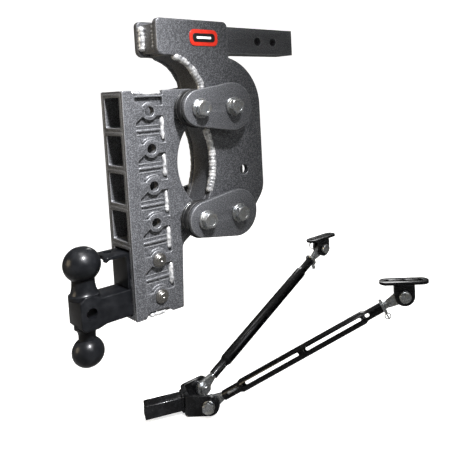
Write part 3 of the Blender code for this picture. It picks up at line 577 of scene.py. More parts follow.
def edge_mask(tree, radius):
    """Nearly 1 along a piece's rounded edges and 0 on its faces."""
    soft = add_node(tree, "Bevel", {"Radius": radius}, samples=4).outputs["Normal"]
    hard = add_node(tree, "NewGeometry").outputs["True Normal"]
    match = add_node(tree, "VectorMath", {0: soft, 1: hard}, operation="DOT_PRODUCT")
    return spread(tree, match.outputs["Value"], 0.995, 0.90)


def hammered_coat(name, base, fleck, size):
    """Silver-vein powder coat: a dark pigment floats metal flakes into fine bright clusters
    over an orange-peel skin, and pulls thin on the edges, which are painted lighter: partly the
    thin coat, partly a painted highlight on the rims. The clusters are drawn wider than the
    real 1 mm so that they show."""
    material, tree, shader, where = start_material(name, {"Metallic": 0.45})
    clusters = grain(tree, where, size, 2.0, 0.6)
    mask = spread(tree, clusters, 0.44, 0.72)
    patches = spread(tree, grain(tree, where, 0.045, 2.0), 0.3, 0.7, 0.0, 0.35)
    dark = blend(tree, patches, colour(base), colour("#37383A"))
    field = blend(tree, mask, dark, colour(fleck))
    # Painted highlight: the rounded edges are blended towards light grey, partly for the thin coat
    # there and partly for the light that the rims catch.
    thin_coat_and_rim_highlight = spread(tree, edge_mask(tree, 0.0016), 0.0, 1.0, 0.0, 0.60)
    tone = blend(tree, thin_coat_and_rim_highlight, field, colour("#A9AAAB"))
    paint(tree, shader, tone, spread(tree, clusters, 0.35, 0.65, 0.50, 0.38))
    peel = bump(tree, shader, grain(tree, where, 0.0026, 2.0), 0.30, 0.0004)
    bump(tree, shader, mask, 0.20, 0.0002, peel)
    return material


def smooth_coat(name, base, roughness, coat):
    """Black powder coat: nearly smooth, with a slight orange peel and faint rub marks."""
    material, tree, shader, where = start_material(
        name, {"Coat Weight": coat, "Coat Roughness": 0.10, "Specular IOR Level": 0.20})
    rubs = spread(tree, grain(tree, where, 0.018, 4.0, 0.65), 0.42, 0.72)
    tone = blend(tree, rubs, colour(base), colour("#17181A"))
    paint(tree, shader, tone, spread(tree, rubs, 0.0, 1.0, roughness, roughness + 0.12))
    bump(tree, shader, grain(tree, where, 0.0024, 2.0), 0.18, 0.0004)
    return material


def zinc_plate(name, base):
    """Bright zinc: a thin passivated plate over turned or rolled steel, cloudy from piece to
    piece and slightly warm and cold in patches."""
    material, tree, shader, where = start_material(name, {"Metallic": 0.92})
    clouds = grain(tree, where, 0.011, 3.0)
    tint = blend(tree, spread(tree, clouds, 0.35, 0.65), colour(base), colour("#B4B3AE"))
    paint(tree, shader, tint, spread(tree, clouds, 0.3, 0.7, 0.20, 0.34))
    bump(tree, shader, grain(tree, where, 0.0012, 3.0), 0.15, 0.0002)
    return material


def turned_stainless(name, centre):
    """Lathe-turned stainless steel: fine rings round the pin's axis catch the light in fans.
    The rings are drawn 0.9 mm apart, wider than real tool marks, so that they show."""
    material, tree, shader, where = start_material(
        name, {"Metallic": 1.0, "Base Color": colour("#BDBAB4")})
    placed = add_node(tree, "Mapping", {"Vector": where, "Location": (-centre[0], 0.0, -centre[2])})
    # A Wave texture of scale 1 repeats every 0.31416 m.
    gap = 0.0009
    waves = {
        "Vector": placed.outputs["Vector"], "Scale": 0.31416 / gap, "Distortion": 0.4,
        "Detail": 1.0}
    rings = add_node(
        tree, "TexWave", waves, wave_type="RINGS", rings_direction="Y",
        wave_profile="SIN").outputs["Fac"]
    tree.links.new(spread(tree, rings, 0.0, 1.0, 0.20, 0.36), shader.inputs["Roughness"])
    bump(tree, shader, rings, 0.30, 0.0002)
    return material


def weld_metal(name, base):
    """MIG bead under a thin coat: rounded puddles, bright on their crowns and grey where
    spatter and scale sit between them."""
    material, tree, shader, where = start_material(name, {"Metallic": 0.45})
    scale = grain(tree, where, 0.0085, 3.0, 0.55)
    tone = blend(tree, spread(tree, scale, 0.36, 0.62), colour("#77787A"), colour(base))
    paint(tree, shader, tone, spread(tree, scale, 0.3, 0.7, 0.44, 0.24))
    fine = bump(tree, shader, grain(tree, where, 0.0034, 2.0), 0.35, 0.0007)
    bump(tree, shader, scale, 0.30, 0.0010, fine)
    return material


def moulded_rubber(name):
    """Natural rubber from a steel mould: black, dull, a little dusty with bloom."""
    material, tree, shader, where = start_material(name, {"Specular IOR Level": 0.35})
    bloom = spread(tree, grain(tree, where, 0.006, 4.0), 0.45, 0.75)
    tone = blend(tree, bloom, colour("#131313"), colour("#2B2B2A"))
    paint(tree, shader, tone, spread(tree, bloom, 0.0, 1.0, 0.50, 0.72))
    bump(tree, shader, grain(tree, where, 0.0014, 2.0), 0.2, 0.0003)
    return material


def enamel(name, base, second):
    """Printed badge under clear resin: flat colour, glossy, faintly mottled."""
    material, tree, shader, where = start_material(
        name, {"Roughness": 0.28, "Coat Weight": 0.6, "Coat Roughness": 0.08})
    mottle = spread(tree, grain(tree, where, 0.008, 2.0), 0.35, 0.65)
    paint(tree, shader, blend(tree, mottle, colour(base), colour(second)))
    bump(tree, shader, grain(tree, where, 0.003, 1.0), 0.05, 0.0002)
    return material


def studio_white(name):
    """Matt seamless paper, with the faintest fibre in it. It is lifted to white where it is
    looked at, and held grey in reflections, as black cards beside a product would do."""
    material, tree, shader, where = start_material(
        name, {"Roughness": 0.9, "Specular IOR Level": 0.1})
    fibre = spread(tree, grain(tree, where, 0.35, 2.0), 0.3, 0.7)
    paper = blend(tree, fibre, colour("#F4F4F3"), colour("#FAFAF9"))
    rays = add_node(tree, "LightPath").outputs
    paint(tree, shader, blend(tree, rays["Is Glossy Ray"], paper, colour("#6E6E6E")))
    shader.inputs["Emission Color"].default_value = (1.0, 1.0, 1.0, 1.0)
    lift = add_node(tree, "Math", {0: rays["Is Camera Ray"], 1: 0.68}, operation="MULTIPLY")
    tree.links.new(lift.outputs["Value"], shader.inputs["Emission Strength"])
    return material


FINISHES = {}


def finish(name):
    """A finish by name, made the first time that it is asked for."""
    if name in FINISHES:
        return FINISHES[name]
    look = bpy.context.scene.hitch_finishes
    makers = {
        "coat": lambda: hammered_coat(
            "hammered_powder_coat", look.coat_colour, look.fleck_colour, look.fleck_size),
        "satin": lambda: smooth_coat("satin_black_powder_coat", look.black_colour, 0.32, 0.18),
        "gloss": lambda: smooth_coat("gloss_black_powder_coat", look.gloss_colour, 0.22, 0.30),
        "zinc": lambda: zinc_plate("bright_zinc_plate", look.zinc_colour),
        "wire": lambda: zinc_plate("spring_wire_zinc", "#7E8184"),
        "weld": lambda: weld_metal("weld_bead_steel", look.weld_colour),
        "rubber": lambda: moulded_rubber("moulded_rubber"),
        "badge": lambda: enamel("badge_red_enamel", look.badge_colour, "#B82717"),
        "badge_dark": lambda: enamel("badge_black_enamel", "#131313", "#1B1B1B"),
        "badge_white": lambda: enamel("badge_white_enamel", "#F1F1EF", "#E6E6E3"),
        "stage": lambda: studio_white("studio_paper"),
    }
    FINISHES[name] = makers[name]()
    return FINISHES[name]


# ---- outlines of the cut plates, in X and Z ----------------------------------
def neck_line(steps=24):
    """The trailer side of the frame: the arm's fillet, then the bow down to the foot."""
    fillet = 0.0620
    upper = arc(NECK_X - fillet, ARM_UNDER_Z - fillet, fillet, 90.0, 0.0, steps)
    lower = bow((NECK_X, UPPER_Z - 0.0205), (NECK_X, LOWER_Z + 0.0232), -0.0207, steps)
    return upper, lower


def frame_outline():
    top, foot, arm_x, back_x = PLATE_HIGH.z, PLATE_LOW.z, PLATE_LOW.x, PLATE_HIGH.x
    block_x = FRAME_X + 0.0225
    back_r = back_x - FRAME_X
    head = rounded([
        (block_x + 0.001, -0.060, 0.0), (block_x, top, 0.010), (arm_x, top, 0.009),
        (arm_x, ARM_UNDER_Z, 0.0115), (arm_x + 0.030, ARM_UNDER_Z, 0.0),
    ])[1:-1]
    heel = rounded([
        (NECK_X, LOWER_Z + 0.020, 0.0), (NECK_X, foot + 0.020, 0.014),
        (FRAME_X - 0.025, foot, 0.012), (FRAME_X + 0.038, foot, 0.030),
        (back_x, LOWER_Z + 0.0272, 0.045), (back_x, LOWER_Z + 0.080, 0.0),
    ], 8)[1:-1]
    start = math.degrees(math.acos((block_x - FRAME_X) / back_r))
    upper, lower = neck_line()
    return head + upper + lower + heel + arc(FRAME_X, UPPER_Z, back_r, 0.0, start, 24)


def link_outline(z):
    """The hull of a small circle at the tower and a large one at the frame."""
    small_r = TOWER_AXIS_X - LINK_LOW.x
    large_r = LINK_HIGH.x - FRAME_X
    lean = math.degrees(math.asin((large_r - small_r) / (FRAME_X - TOWER_AXIS_X)))
    large = arc(FRAME_X, z, large_r, -90.0 - lean, 90.0 + lean, 40)
    return large + arc(TOWER_AXIS_X, z, small_r, 90.0 + lean, 270.0 - lean, 28)


def tower_outline():
    foot, top, rear = SIDE_LOW.z, SIDE_HIGH.z, SIDE_HIGH.x
    x = TOWER_X
    lobe = LOWER_Z - 0.0300
    lower_end = (rear, LOWER_Z + 0.0094)
    upper_end = (rear, UPPER_Z - 0.0087)
    before = rounded([
        (x, top - 0.010, 0.0), (x, foot, 0.0015), (x + 0.0177, foot, 0.0015),
        (x + 0.0253, foot + 0.0102, 0.003), (x + 0.0585, foot + 0.009, 0.003),
        (ARM_BACK_X, foot, 0.0015), (x + 0.0913, foot, 0.0015),
        (x + 0.0970, lobe - 0.012, 0.016), (x + 0.1150, lobe, 0.004), (rear, lobe, 0.020),
        (*lower_end, 0.0),
    ])
    middle = bow(lower_end, upper_end, -(UPPER_Z - LOWER_Z) * 0.276, 32)[1:-1]
    after = rounded([
        (*upper_end, 0.0), (rear, top, 0.012), (x + 0.0740, top, 0.001),
        (x + 0.0740, top - 0.0085, 0.001), (x + 0.0215, top - 0.0085, 0.003),
        (x + 0.0165, top, 0.003), (x, top, 0.003), (x, top - 0.015, 0.0),
    ])[:-1]
    return before[1:] + middle + after


def pocket_outline(above, below):
    """The opening between two pin bosses, where the side plate is welded to the tubes."""
    left, right = POCKET_X, TOWER_X + 0.0740
    high, low = above - 0.0080, below + 0.0092
    roof = [(px, pz, 0.0) for px, pz in arc(HOLE_X, above, 0.0150, -32.0, -148.0, 16)]
    floor = [(px, pz, 0.0) for px, pz in arc(HOLE_X, below, 0.0170, 148.0, 32.0, 16)]
    return rounded(
        [(right, high, 0.0022), (HOLE_X + 0.0152, high, 0.0015)] + roof
        + [(left, above - 0.0180, 0.0025), (left, low, 0.0030)] + floor + [(right, low, 0.0022)], 4)


def top_pocket_outline(below, top):
    left, right = POCKET_X, TOWER_X + 0.0730
    low = below + 0.0092
    floor = [(px, pz, 0.0) for px, pz in arc(HOLE_X, below, 0.0160, 142.0, 38.0, 16)]
    return rounded(
        [(left, top - 0.0120, 0.0015), (left, low + 0.0090, 0.0030)] + floor
        + [(right, low, 0.0022), (right, top - 0.0120, 0.0015)], 4)


def hole_heights():
    return [TOP_HOLE_Z - i * PITCH for i in range(TUBE_COUNT)]


# ---- frame -------------------------------------------------------------------
class HITCH_OT_shank(bpy.types.Operator):
    """Solid square shank with its two cross holes"""
    bl_idname = "hitch.shank"
    bl_label = "Shank"

    def execute(self, context):
        shank = block(SHANK_LOW, SHANK_HIGH)
        reach = SHANK_HIGH.y * 2
        for x in (-0.0535, -0.0940):
            cut(shank, rod(0.0088, (x, -reach, 0), (x, reach, 0)))
        round_edges(shank, 0.0012)
        smooth(shank)
        finish_piece(shank, "shank_bar", "frame", "coat", "shank")
        return {"FINISHED"}


class HITCH_OT_frame_plates(bpy.types.Operator):
    """The two cut plates and the bent web between them"""
    bl_idname = "hitch.frame_plates"
    bl_label = "Frame plates"

    def execute(self, context):
        edge = context.scene.hitch_sizes.plate_edge
        loops = [frame_outline(), circle(FRAME_X + 0.0458, LOWER_Z + 0.0722, 0.0095)]
        loops += [circle(FRAME_X, z, SHAFT_BORE) for _, z in LEVELS]
        for word, side in SIDES:
            plate = flat_piece(loops, *side_y(side, PLATE_LOW.y, PLATE_HIGH.y), edge)
            finish_piece(plate, "frame_side_" + word, "frame", "coat", "frame_plate_" + word)
        upper, lower = neck_line()
        line = [Vector(p) for p in upper + lower + [(NECK_X, LOWER_Z - 0.008)]]
        roof = SHANK_LOW.z - GAP
        inner = []
        for i, point in enumerate(line):
            run = (line[min(i + 1, len(line) - 1)] - line[max(i - 1, 0)]).normalized()
            back = point + Vector((-run.y, run.x)) * 0.0100
            inner.append((back.x, min(back.y, roof)))
        half = SHANK_HIGH.y - GAP
        web = flat_piece([[tuple(p) for p in line] + inner[::-1]], -half, half, 0.0004)
        finish_piece(web, "frame_neck_web", "frame", "coat", "frame_web")
        return {"FINISHED"}


class HITCH_OT_frame_welds(bpy.types.Operator):
    """Beads along the neck and down the arm's end"""
    bl_idname = "hitch.frame_welds"
    bl_label = "Frame welds"

    def execute(self, context):
        sizes = context.scene.hitch_sizes
        upper, lower = neck_line(60)
        for word, side in SIDES:
            # The seen side's neck and the other side's arm end are left bright.
            neck_look, arm_look = ("weld", "coat") if side < 0 else ("coat", "weld")
            y = side * (SHANK_HIGH.y + 0.0072)
            neck, ripple = sizes.neck_bead, sizes.ripple
            if side > 0:
                neck, ripple = neck * 0.6, ripple * 2.0
            # The end leans back into the web, so that the tower's plate clears it when folded up.
            end_x = upper[-1][0]
            upper_path = []
            for x, z in upper[6:] + [(end_x - 0.0005, UPPER_Z + 0.0405)]:
                lean = min(1.0, max(0.0, (UPPER_Z + 0.058 - z) / 0.012))
                upper_path.append((x + 0.0042 * lean, y, z))
            low_path = [(x, y, z) for x, z in lower if LOWER_Z + 0.038 < z < UPPER_Z - 0.036]
            blob = (end_x + 0.0044, y - side * 0.0010, UPPER_Z + 0.0420)
            beads = [
                weld_bead(upper_path, neck, ripple, 3 + side),
                weld_bead(low_path, neck * 1.05, ripple, 9 + side),
                weld_bead([blob, (blob[0], y, blob[2] - 0.006)], 0.0060, 0.004, 18, 0.12),
            ]
            finish_piece(join(beads), "frame_weld_" + word, "frame", neck_look)
            arm_x, arm_y = SHANK_LOW.x - 0.0020, side * (PLATE_LOW.y - 0.0035)
            arm_path = [(arm_x, arm_y, SHANK_HIGH.z - 0.002 - i * 0.004) for i in range(12)]
            arm_bead = weld_bead(arm_path, 0.0068, sizes.ripple, 15 + side)
            finish_piece(arm_bead, "arm_weld_" + word, "frame", arm_look)
        return {"FINISHED"}


class HITCH_OT_badge(bpy.types.Operator):
    """Plain badge without lettering: a coloured rim, a dark panel and a pale bar"""
    bl_idname = "hitch.badge"
    bl_label = "Badge"

    def execute(self, context):
        low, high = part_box("frame_badge")
        middle = ((low.x + high.x) / 2, (low.z + high.z) / 2)
        layers = (
            ("frame_badge_rim", "badge", 1.00, 1.00, 0.010, 0.0, ("frame_badge",)),
            ("frame_badge_panel", "badge_dark", 0.80, 0.54, 0.0060, 0.0003, ()),
            ("frame_badge_bar", "badge_white", 0.52, 0.15, 0.0018, 0.0006, ()),
        )
        for name, look, wide, tall, radius, step, stands_for in layers:
            w, h = (high.x - low.x) / 2 * wide, (high.z - low.z) / 2 * tall
            outline = rectangle(w, h, radius, 8, middle)
            layer = flat_piece([outline], low.y - step + 0.0002, high.y - step, 0.0002)
            finish_piece(layer, name, "frame", look, *stands_for)
        return {"FINISHED"}


# ---- bushes and links --------------------------------------------------------
class HITCH_OT_bushes(bpy.types.Operator):
    """Grooved rubber bushes, each with two steel rings at its inner end"""
    bl_idname = "hitch.bushes"
    bl_label = "Torsion bushes"

    def execute(self, context):
        length = BUSH_HIGH.y - BUSH_LOW.y
        radius = (BUSH_HIGH.x - BUSH_LOW.x) / 2
        bore = 0.0126
        shares = (
            (0.86, 0.0), (0.86, 0.12), (0.92, 0.16), (0.92, 0.30), (0.85, 0.33), (0.85, 0.40),
            (0.95, 0.46), (0.985, 0.60), (1.0, 0.80), (0.975, 0.97), (0.95, 1.0))
        skin = [(radius * wide, length * far) for wide, far in shares]
        rubber = turned([(bore, 0.0), *skin, (bore, length), (bore, 0.0)], 72)
        steel = join([
            turned(chamfered(radius * wide, length * far, length * (far + 0.065), 0.0005), 72)
            for far, wide in ((0.045, 0.905), (0.335, 0.930))])
        for body, x in (("frame", FRAME_X), ("tower", TOWER_AXIS_X)):
            for level, z in LEVELS:
                for word, side in SIDES:
                    node = f"{body}_bush_{level}_{word}"
                    place = along((x, side * BUSH_LOW.y, z), (x, side * BUSH_HIGH.y, z))
                    finish_piece(copy_of(rubber, place), node + "_rubber", body, "rubber", node)
                    finish_piece(copy_of(steel, place), node + "_rings", body, "wire")
        discard(rubber, steel)
        return {"FINISHED"}


class HITCH_OT_links(bpy.types.Operator):
    """The four tapered links, with finishes on their shafts"""
    bl_idname = "hitch.links"
    bl_label = "Links"

    def execute(self, context):
        edge = context.scene.hitch_sizes.plate_edge
        for level, z in LEVELS:
            loops = [link_outline(z)] + [circle(x, z, 0.0063) for x in (TOWER_AXIS_X, FRAME_X)]
            for word, side in SIDES:
                link = flat_piece(loops, *side_y(side, LINK_LOW.y, LINK_HIGH.y), edge)
                finish_piece(
                    link, f"{level}_side_link_{word}", level + "_links", "coat",
                    f"{level}_link_{word}")
            for place in ("tower", "frame"):
                shaft = frame["nodes"][f"{level}_shaft_{place}"]
                shaft.data.materials.clear()
                shaft.data.materials.append(finish("zinc"))
        return {"FINISHED"}


class HITCH_OT_bolts(bpy.types.Operator):
    """Hexagon bolts on thick washers, one at each end of the four shafts"""
    bl_idname = "hitch.bolts"
    bl_label = "Link bolts"

    def execute(self, context):
        washer = turned(chamfered(0.0170, 0.0, 0.0048, 0.0008))
        flange = turned(chamfered(0.0138, 0.0046, 0.0062, 0.0004))
        head = hex_piece(0.0250, 0.0100, (0, 0, 0.0060), (0, 0, 1), 0.0007)
        stud = turned(chamfered(0.0059, -0.0280, 0.0010, 0.0006), 32)
        bolt = join([head, washer, flange, stud])
        seat = LINK_HIGH.y + GAP
        for level, z in LEVELS:
            for place, x, degrees in (("tower", TOWER_AXIS_X, 17.0), ("frame", FRAME_X, 43.0)):
                turn = Matrix.Rotation(math.radians(degrees), 4, "Z")
                for word, side in SIDES:
                    node = f"{level}_bolt_{place}_{word}"
                    twin = copy_of(bolt, along((x, side * seat, z), (x, side, z)) @ turn)
                    finish_piece(twin, node + "_set", level + "_links", "zinc", node)
        discard(bolt)
        return {"FINISHED"}


# ---- tower -------------------------------------------------------------------
class HITCH_OT_tubes(bpy.types.Operator):
    """Six square receiver tubes, stacked face to face"""
    bl_idname = "hitch.tubes"
    bl_label = "Receiver tubes"

    def execute(self, context):
        loops = [
            rectangle(TUBE_HALF, TUBE_HALF, 0.0040, 8),
            rectangle(TUBE_HALF - TUBE_WALL, TUBE_HALF - TUBE_WALL, 0.0028, 8)]
        stand = Matrix.Translation((0, 0, TOP_HOLE_Z)) @ END_ON
        tube = flat_piece(loops, TUBE_LOW.x, TUBE_HIGH.x, 0.0005, stand)
        reach = TUBE_HALF * 1.5
        cut(tube, rod(PIN_BORE, (HOLE_X, -reach, TOP_HOLE_Z), (HOLE_X, reach, TOP_HOLE_Z)))
        smooth(tube)
        for i in range(TUBE_COUNT):
            twin = copy_of(tube, Matrix.Translation((0, 0, -i * PITCH)))
            finish_piece(twin, f"tower_tube_{i + 1}", "tower", "coat", f"receiver_tube_{i + 1}")
        discard(tube)
        return {"FINISHED"}


class HITCH_OT_tower_plates(bpy.types.Operator):
    """The two tower side plates, with pockets, pin bosses and waist"""
    bl_idname = "hitch.tower_plates"
    bl_label = "Tower plates"

    def execute(self, context):
        holes = hole_heights()
        loops = [tower_outline(), top_pocket_outline(holes[0], SIDE_HIGH.z)]
        loops += [pocket_outline(a, b) for a, b in zip(holes, holes[1:])]
        loops += [circle(HOLE_X, z, PIN_BORE) for z in holes]
        loops += [circle(TOWER_AXIS_X, z, SHAFT_BORE) for _, z in LEVELS]
        for word, side in SIDES:
            plate = flat_piece(loops, *side_y(side, SIDE_LOW.y, SIDE_HIGH.y), 0.0012)
            finish_piece(plate, "tower_side_" + word, "tower", "coat", "tower_plate_" + word)
        return {"FINISHED"}


class HITCH_OT_tower_welds(bpy.types.Operator):
    """Beads between the tubes, in the pockets and along the tower's top"""
    bl_idname = "hitch.tower_welds"
    bl_label = "Tower welds"

    def execute(self, context):
        sizes = context.scene.hitch_sizes
        holes = hole_heights()
        for word, side in SIDES:
            beads, ridges = [], []
            for i, z in enumerate(holes[:-1]):
                path = self.row(0.020, 0.005, 11, side, 0.0004, z - PITCH / 2)
                bead = weld_bead(path, sizes.seam_bead * 0.8, sizes.ripple * 1.8, 20 + i + side)
                ridges.append(bead)
                for gap in (-0.0075, 0.0075):
                    line = [(px, py - side * 0.0007, pz + gap) for px, py, pz in path]
                    ridges.append(weld_bead(line, 0.0013, 0.012, 25 + i + side, 0.3))
                y = side * (TUBE_HALF + 0.0010)
                lumps = [(TOWER_X + 0.0725, y, z - 0.0095 - 0.004 * k) for k in range(11)]
                beads.append(weld_bead(lumps, 0.0042, sizes.ripple * 1.5, 30 + i + side, 0.28))
                y = side * (TUBE_HALF + 0.0006)
                boss = arc(HOLE_X, holes[i + 1], 0.0182, 142.0, 38.0, 12)
                foot = [(px, y, pz) for px, pz in boss]
                ridges.append(weld_bead(foot, 0.0024, sizes.ripple, 40 + i + side, 0.2))
            path = self.row(0.023, 0.005, 11, side, 0.0020, TUBE_HIGH.z - 0.0010)
            beads.append(weld_bead(path, 0.0044, sizes.ripple, 50 + side, 0.2))
            path = self.row(0.026, 0.004, 9, side, 0.0010, holes[-1] - TUBE_HALF + 0.0020)
            beads.append(weld_bead(path, 0.0036, sizes.ripple, 55 + side, 0.2))
            finish_piece(join(beads), "tower_weld_" + word, "tower", "weld")
            finish_piece(join(ridges), "tower_ridge_" + word, "tower", "coat")
        self.fill_face(holes)
        return {"FINISHED"}

    def row(self, start, step, count, side, proud, z):
        """Points along X that stand a little proud of a tube's side."""
        y = side * (TUBE_HALF + proud)
        return [(TOWER_X + start + step * k, y, z) for k in range(count)]

    def fill_face(self, holes):
        """Weld dressed flush round the tubes' open ends."""
        front, back = TOWER_X + 0.0002, TOWER_X + 0.0070
        fills = []
        for z in holes[:-1]:
            low = (front, -TUBE_HALF, z - PITCH / 2 - 0.0042)
            fills.append(block(low, (back, TUBE_HALF, z - PITCH / 2 + 0.0042)))
        foot, top = holes[-1] - TUBE_HALF + 0.0010, TUBE_HIGH.z - 0.0010
        for side in (-1, 1):
            y0, y1 = sorted((side * (TUBE_HALF - 0.0035), side * (TUBE_HALF + 0.0020)))
            fills.append(block((TOWER_X + 0.0004, y0, foot), (back, y1, top)))
        corner = (TOWER_X + 0.0162, TUBE_HALF + 0.0006, SIDE_HIGH.z - 0.0004)
        fills.append(block((front, -TUBE_HALF - 0.0006, TUBE_HIGH.z - 0.0030), corner))
        for fill in fills:
            round_edges(fill, 0.0003, 2)
        finish_piece(join(fills), "tower_face_fill", "tower", "coat")


# ---- ball mount, pintle lock and their pins ----------------------------------
def ball_profile(ball_r, flat_r, neck_r, neck_top, base_r, base_z, centre):
    """Half of a ball with its flat, its neck and its flared base."""
    points = [(0.0, centre + math.sqrt(ball_r ** 2 - flat_r ** 2))]
    first = math.asin(flat_r / ball_r)
    last = math.pi - math.asin(neck_r / ball_r)
    for i in range(33):
        a = first + (last - first) * i / 32
        points.append((ball_r * math.sin(a), centre + ball_r * math.cos(a)))
    points.append((neck_r, neck_top))
    for i in range(1, 13):
        a = i / 12 * math.pi / 2
        wide = neck_r + (base_r - neck_r) * (1 - math.cos(a))
        points.append((wide, neck_top - (neck_top - base_z) * math.sin(a) * 0.98))
    points += [(base_r, base_z - 0.006), (0.0, base_z - 0.006)]
    return points


class HITCH_OT_ball_mount(bpy.types.Operator):
    """The forged arm with a large ball above and a smaller one below"""
    bl_idname = "hitch.ball_mount"
    bl_label = "Ball mount"

    def execute(self, context):
        mid = LOW_HOLE_Z
        front, back = TOWER_X - 0.0865, TOWER_X - 0.0530
        outline = rounded([
            (front, mid + 0.0215, 0.0015), (front, mid - 0.0200, 0.0015),
            (front + 0.006, mid - 0.0265, 0.003), (back - 0.006, mid - 0.0265, 0.006),
            (back + 0.008, mid - ARM_RISE, 0.010), (ARM_BACK_X, mid - ARM_RISE, 0.001),
            (ARM_BACK_X, mid + ARM_RISE, 0.001), (back + 0.002, mid + ARM_RISE, 0.008),
            (back - 0.014, mid + 0.0300, 0.010), (front + 0.010, mid + 0.0300, 0.006),
        ])
        body = flat_piece([outline], -ARM_HALF, ARM_HALF, 0.0018)
        reach = ARM_HALF * 2
        for x, z, radius in ((BALL_X + 0.0005, mid + 0.0018, 0.0088), (HOLE_X, mid, PIN_BORE)):
            cut(body, rod(radius, (x, -reach, z), (x, reach, z)))
        top = ball_profile(BALL_R, 0.011, 0.0180, 0.052, 0.0245, 0.0290, 0.0775)
        under = ball_profile(0.0254, 0.008, 0.0135, 0.040, 0.0190, 0.0262, 0.0672)
        for profile, heading in ((top, 1), (under, -1)):
            ball = turned(profile, 96, (BALL_X, 0, mid), (BALL_X, 0, mid + heading))
            combine(body, ball, "UNION")
        smooth(body)
        finish_piece(body, "ball_mount_arm", "tower", "satin", "ball_mount")
        return {"FINISHED"}


class HITCH_OT_pintle_lock(bpy.types.Operator):
    """The block in the second tube, with its face plate and forward tab"""
    bl_idname = "hitch.pintle_lock"
    bl_label = "Pintle lock"

    def execute(self, context):
        next_z = LOW_HOLE_Z + PITCH
        high = next_z + TUBE_HALF - TUBE_WALL - 0.0040
        low = LOW_HOLE_Z + ARM_RISE + 0.0010
        face = TOWER_X - GAP
        tab = rounded([
            (face, low, 0.0), (face, high, 0.0), (face - 0.037, high, 0.006),
            (face - 0.0430, high - 0.006, 0.001), (face - 0.0390, high - 0.0085, 0.001),
            (face - 0.0340, high - 0.0050, 0.003), (face - 0.0046, high - 0.0050, 0.003),
            (face - 0.0046, low, 0.0005),
        ])
        lock = flat_piece([tab], -ARM_HALF, ARM_HALF, 0.0006)
        corner = (ARM_BACK_X, ARM_HALF, high - 0.0010)
        inner = block((face - 0.002, -ARM_HALF, next_z - ARM_RISE), corner, 0.0008)
        combine(lock, inner, "UNION")
        notch = (BALL_R + 0.0035, BALL_X, 0, 96)
        for radius, x, y, sides in (notch, (0.0065, TOWER_X - 0.0210, 0.010, 48)):
            cut(lock, rod(radius, (x, y, high - 0.02), (x, y, high + 0.02), sides))
        reach = ARM_HALF * 2
        cut(lock, rod(PIN_BORE, (HOLE_X, -reach, next_z), (HOLE_X, reach, next_z)))
        smooth(lock)
        finish_piece(lock, "pintle_lock_block", "tower", "satin", "pintle_lock")
        return {"FINISHED"}


class HITCH_OT_hitch_pins(bpy.types.Operator):
    """The two stepped, turned pins through the tower"""
    bl_idname = "hitch.hitch_pins"
    bl_label = "Hitch pins"

    def execute(self, context):
        length = PIN_HIGH.y - PIN_LOW.y
        head = 0.0080
        tip = head - length
        profile = [
            (0.0, head - 0.0012), (0.0011, head - 0.0008), (0.0019, head), (0.0062, head),
            (0.0068, head - 0.0005), (0.0076, head - 0.0024), (0.0078, head - 0.0036),
            (0.0086, head - 0.0038), (0.0090, head - 0.0042), (0.0104, head - 0.0044),
            (0.0117, head - 0.0050), (0.0120, head - 0.0058), (0.0120, 0.0006), (0.0114, 0.0),
            (0.0079, 0.0), (0.0079, tip + 0.0090), (0.0070, tip + 0.0085), (0.0070, tip + 0.0060),
            (0.0079, tip + 0.0055), (0.0079, tip + 0.0040), (0.0055, tip), (0.0, tip),
        ]
        for name, z in (("ball_mount_pin", LOW_HOLE_Z), ("pintle_lock_pin", LOW_HOLE_Z + PITCH)):
            seat = Vector((HOLE_X, PIN_LOW.y + head, z))
            pin = turned(profile, 96, seat, seat + Vector((0, -1, 0)))
            steel = turned_stainless(name + "_stainless", seat)
            finish_piece(pin, name + "_turned", name, steel, name)
        return {"FINISHED"}


# ---- stabiliser kit ----------------------------------------------------------
# _T is a thickness, _R a radius, _H a height and _L a length.
YOKE_BOLT_A = 0.0537  # from the square tube's end to the yoke bolts, along the tube
YOKE_BOLT_B = 0.0374  # from the tube's axis to a yoke bolt
YOKE_T = 0.0090
YOKE_H = 0.0450
INSERT_HALF = 0.015875
JAW_T = 0.0100
JAW_R = 0.0165
ROD_R = 0.0079
BODY_START = 0.0352  # along a strut, from its yoke bolt to the turnbuckle's body
BODY_END = 0.4318
COLLAR_L = 0.0460
BRACKET_RISE = 0.0320
EAR_T = 0.0064
EAR_INNER = JAW_T / 2 + 0.0004
PIN_FACE = EAR_INNER + EAR_T + GAP
CLIP_OUT = 0.0080


def axes(origin, x_axis, y_axis):
    """The matrix with this origin and these two axes."""
    x_axis, y_axis = Vector(x_axis).normalized(), Vector(y_axis).normalized()
    turn = Matrix((x_axis, y_axis, x_axis.cross(y_axis))).transposed().to_4x4()
    return Matrix.Translation(origin) @ turn


def kit_places():
    """The base's matrix, and for each strut its side, bolt matrix and bracket matrix."""
    struts = {}
    bolts = {}
    for word, side in SIDES:
        swing = JOINTS["strut_swing_" + word]
        across = -Vector(swing["axis"])
        bolts[word] = Vector(swing["pos_m"])
        bolt = axes(bolts[word], JOINTS["turnbuckle_turn_" + word]["axis"], across)
        level = across.cross(Vector((0, 0, 1)))
        pin = axes(JOINTS["bracket_tilt_" + word]["pos_m"], level, across)
        struts[word] = (side, bolt, pin)
    y_axis = (bolts["left"] - bolts["right"]).normalized()
    x_axis = y_axis.cross(Vector((0, 0, 1)))
    middle = (bolts["left"] + bolts["right"]) / 2
    return axes(middle - x_axis * YOKE_BOLT_A, x_axis, y_axis), struts


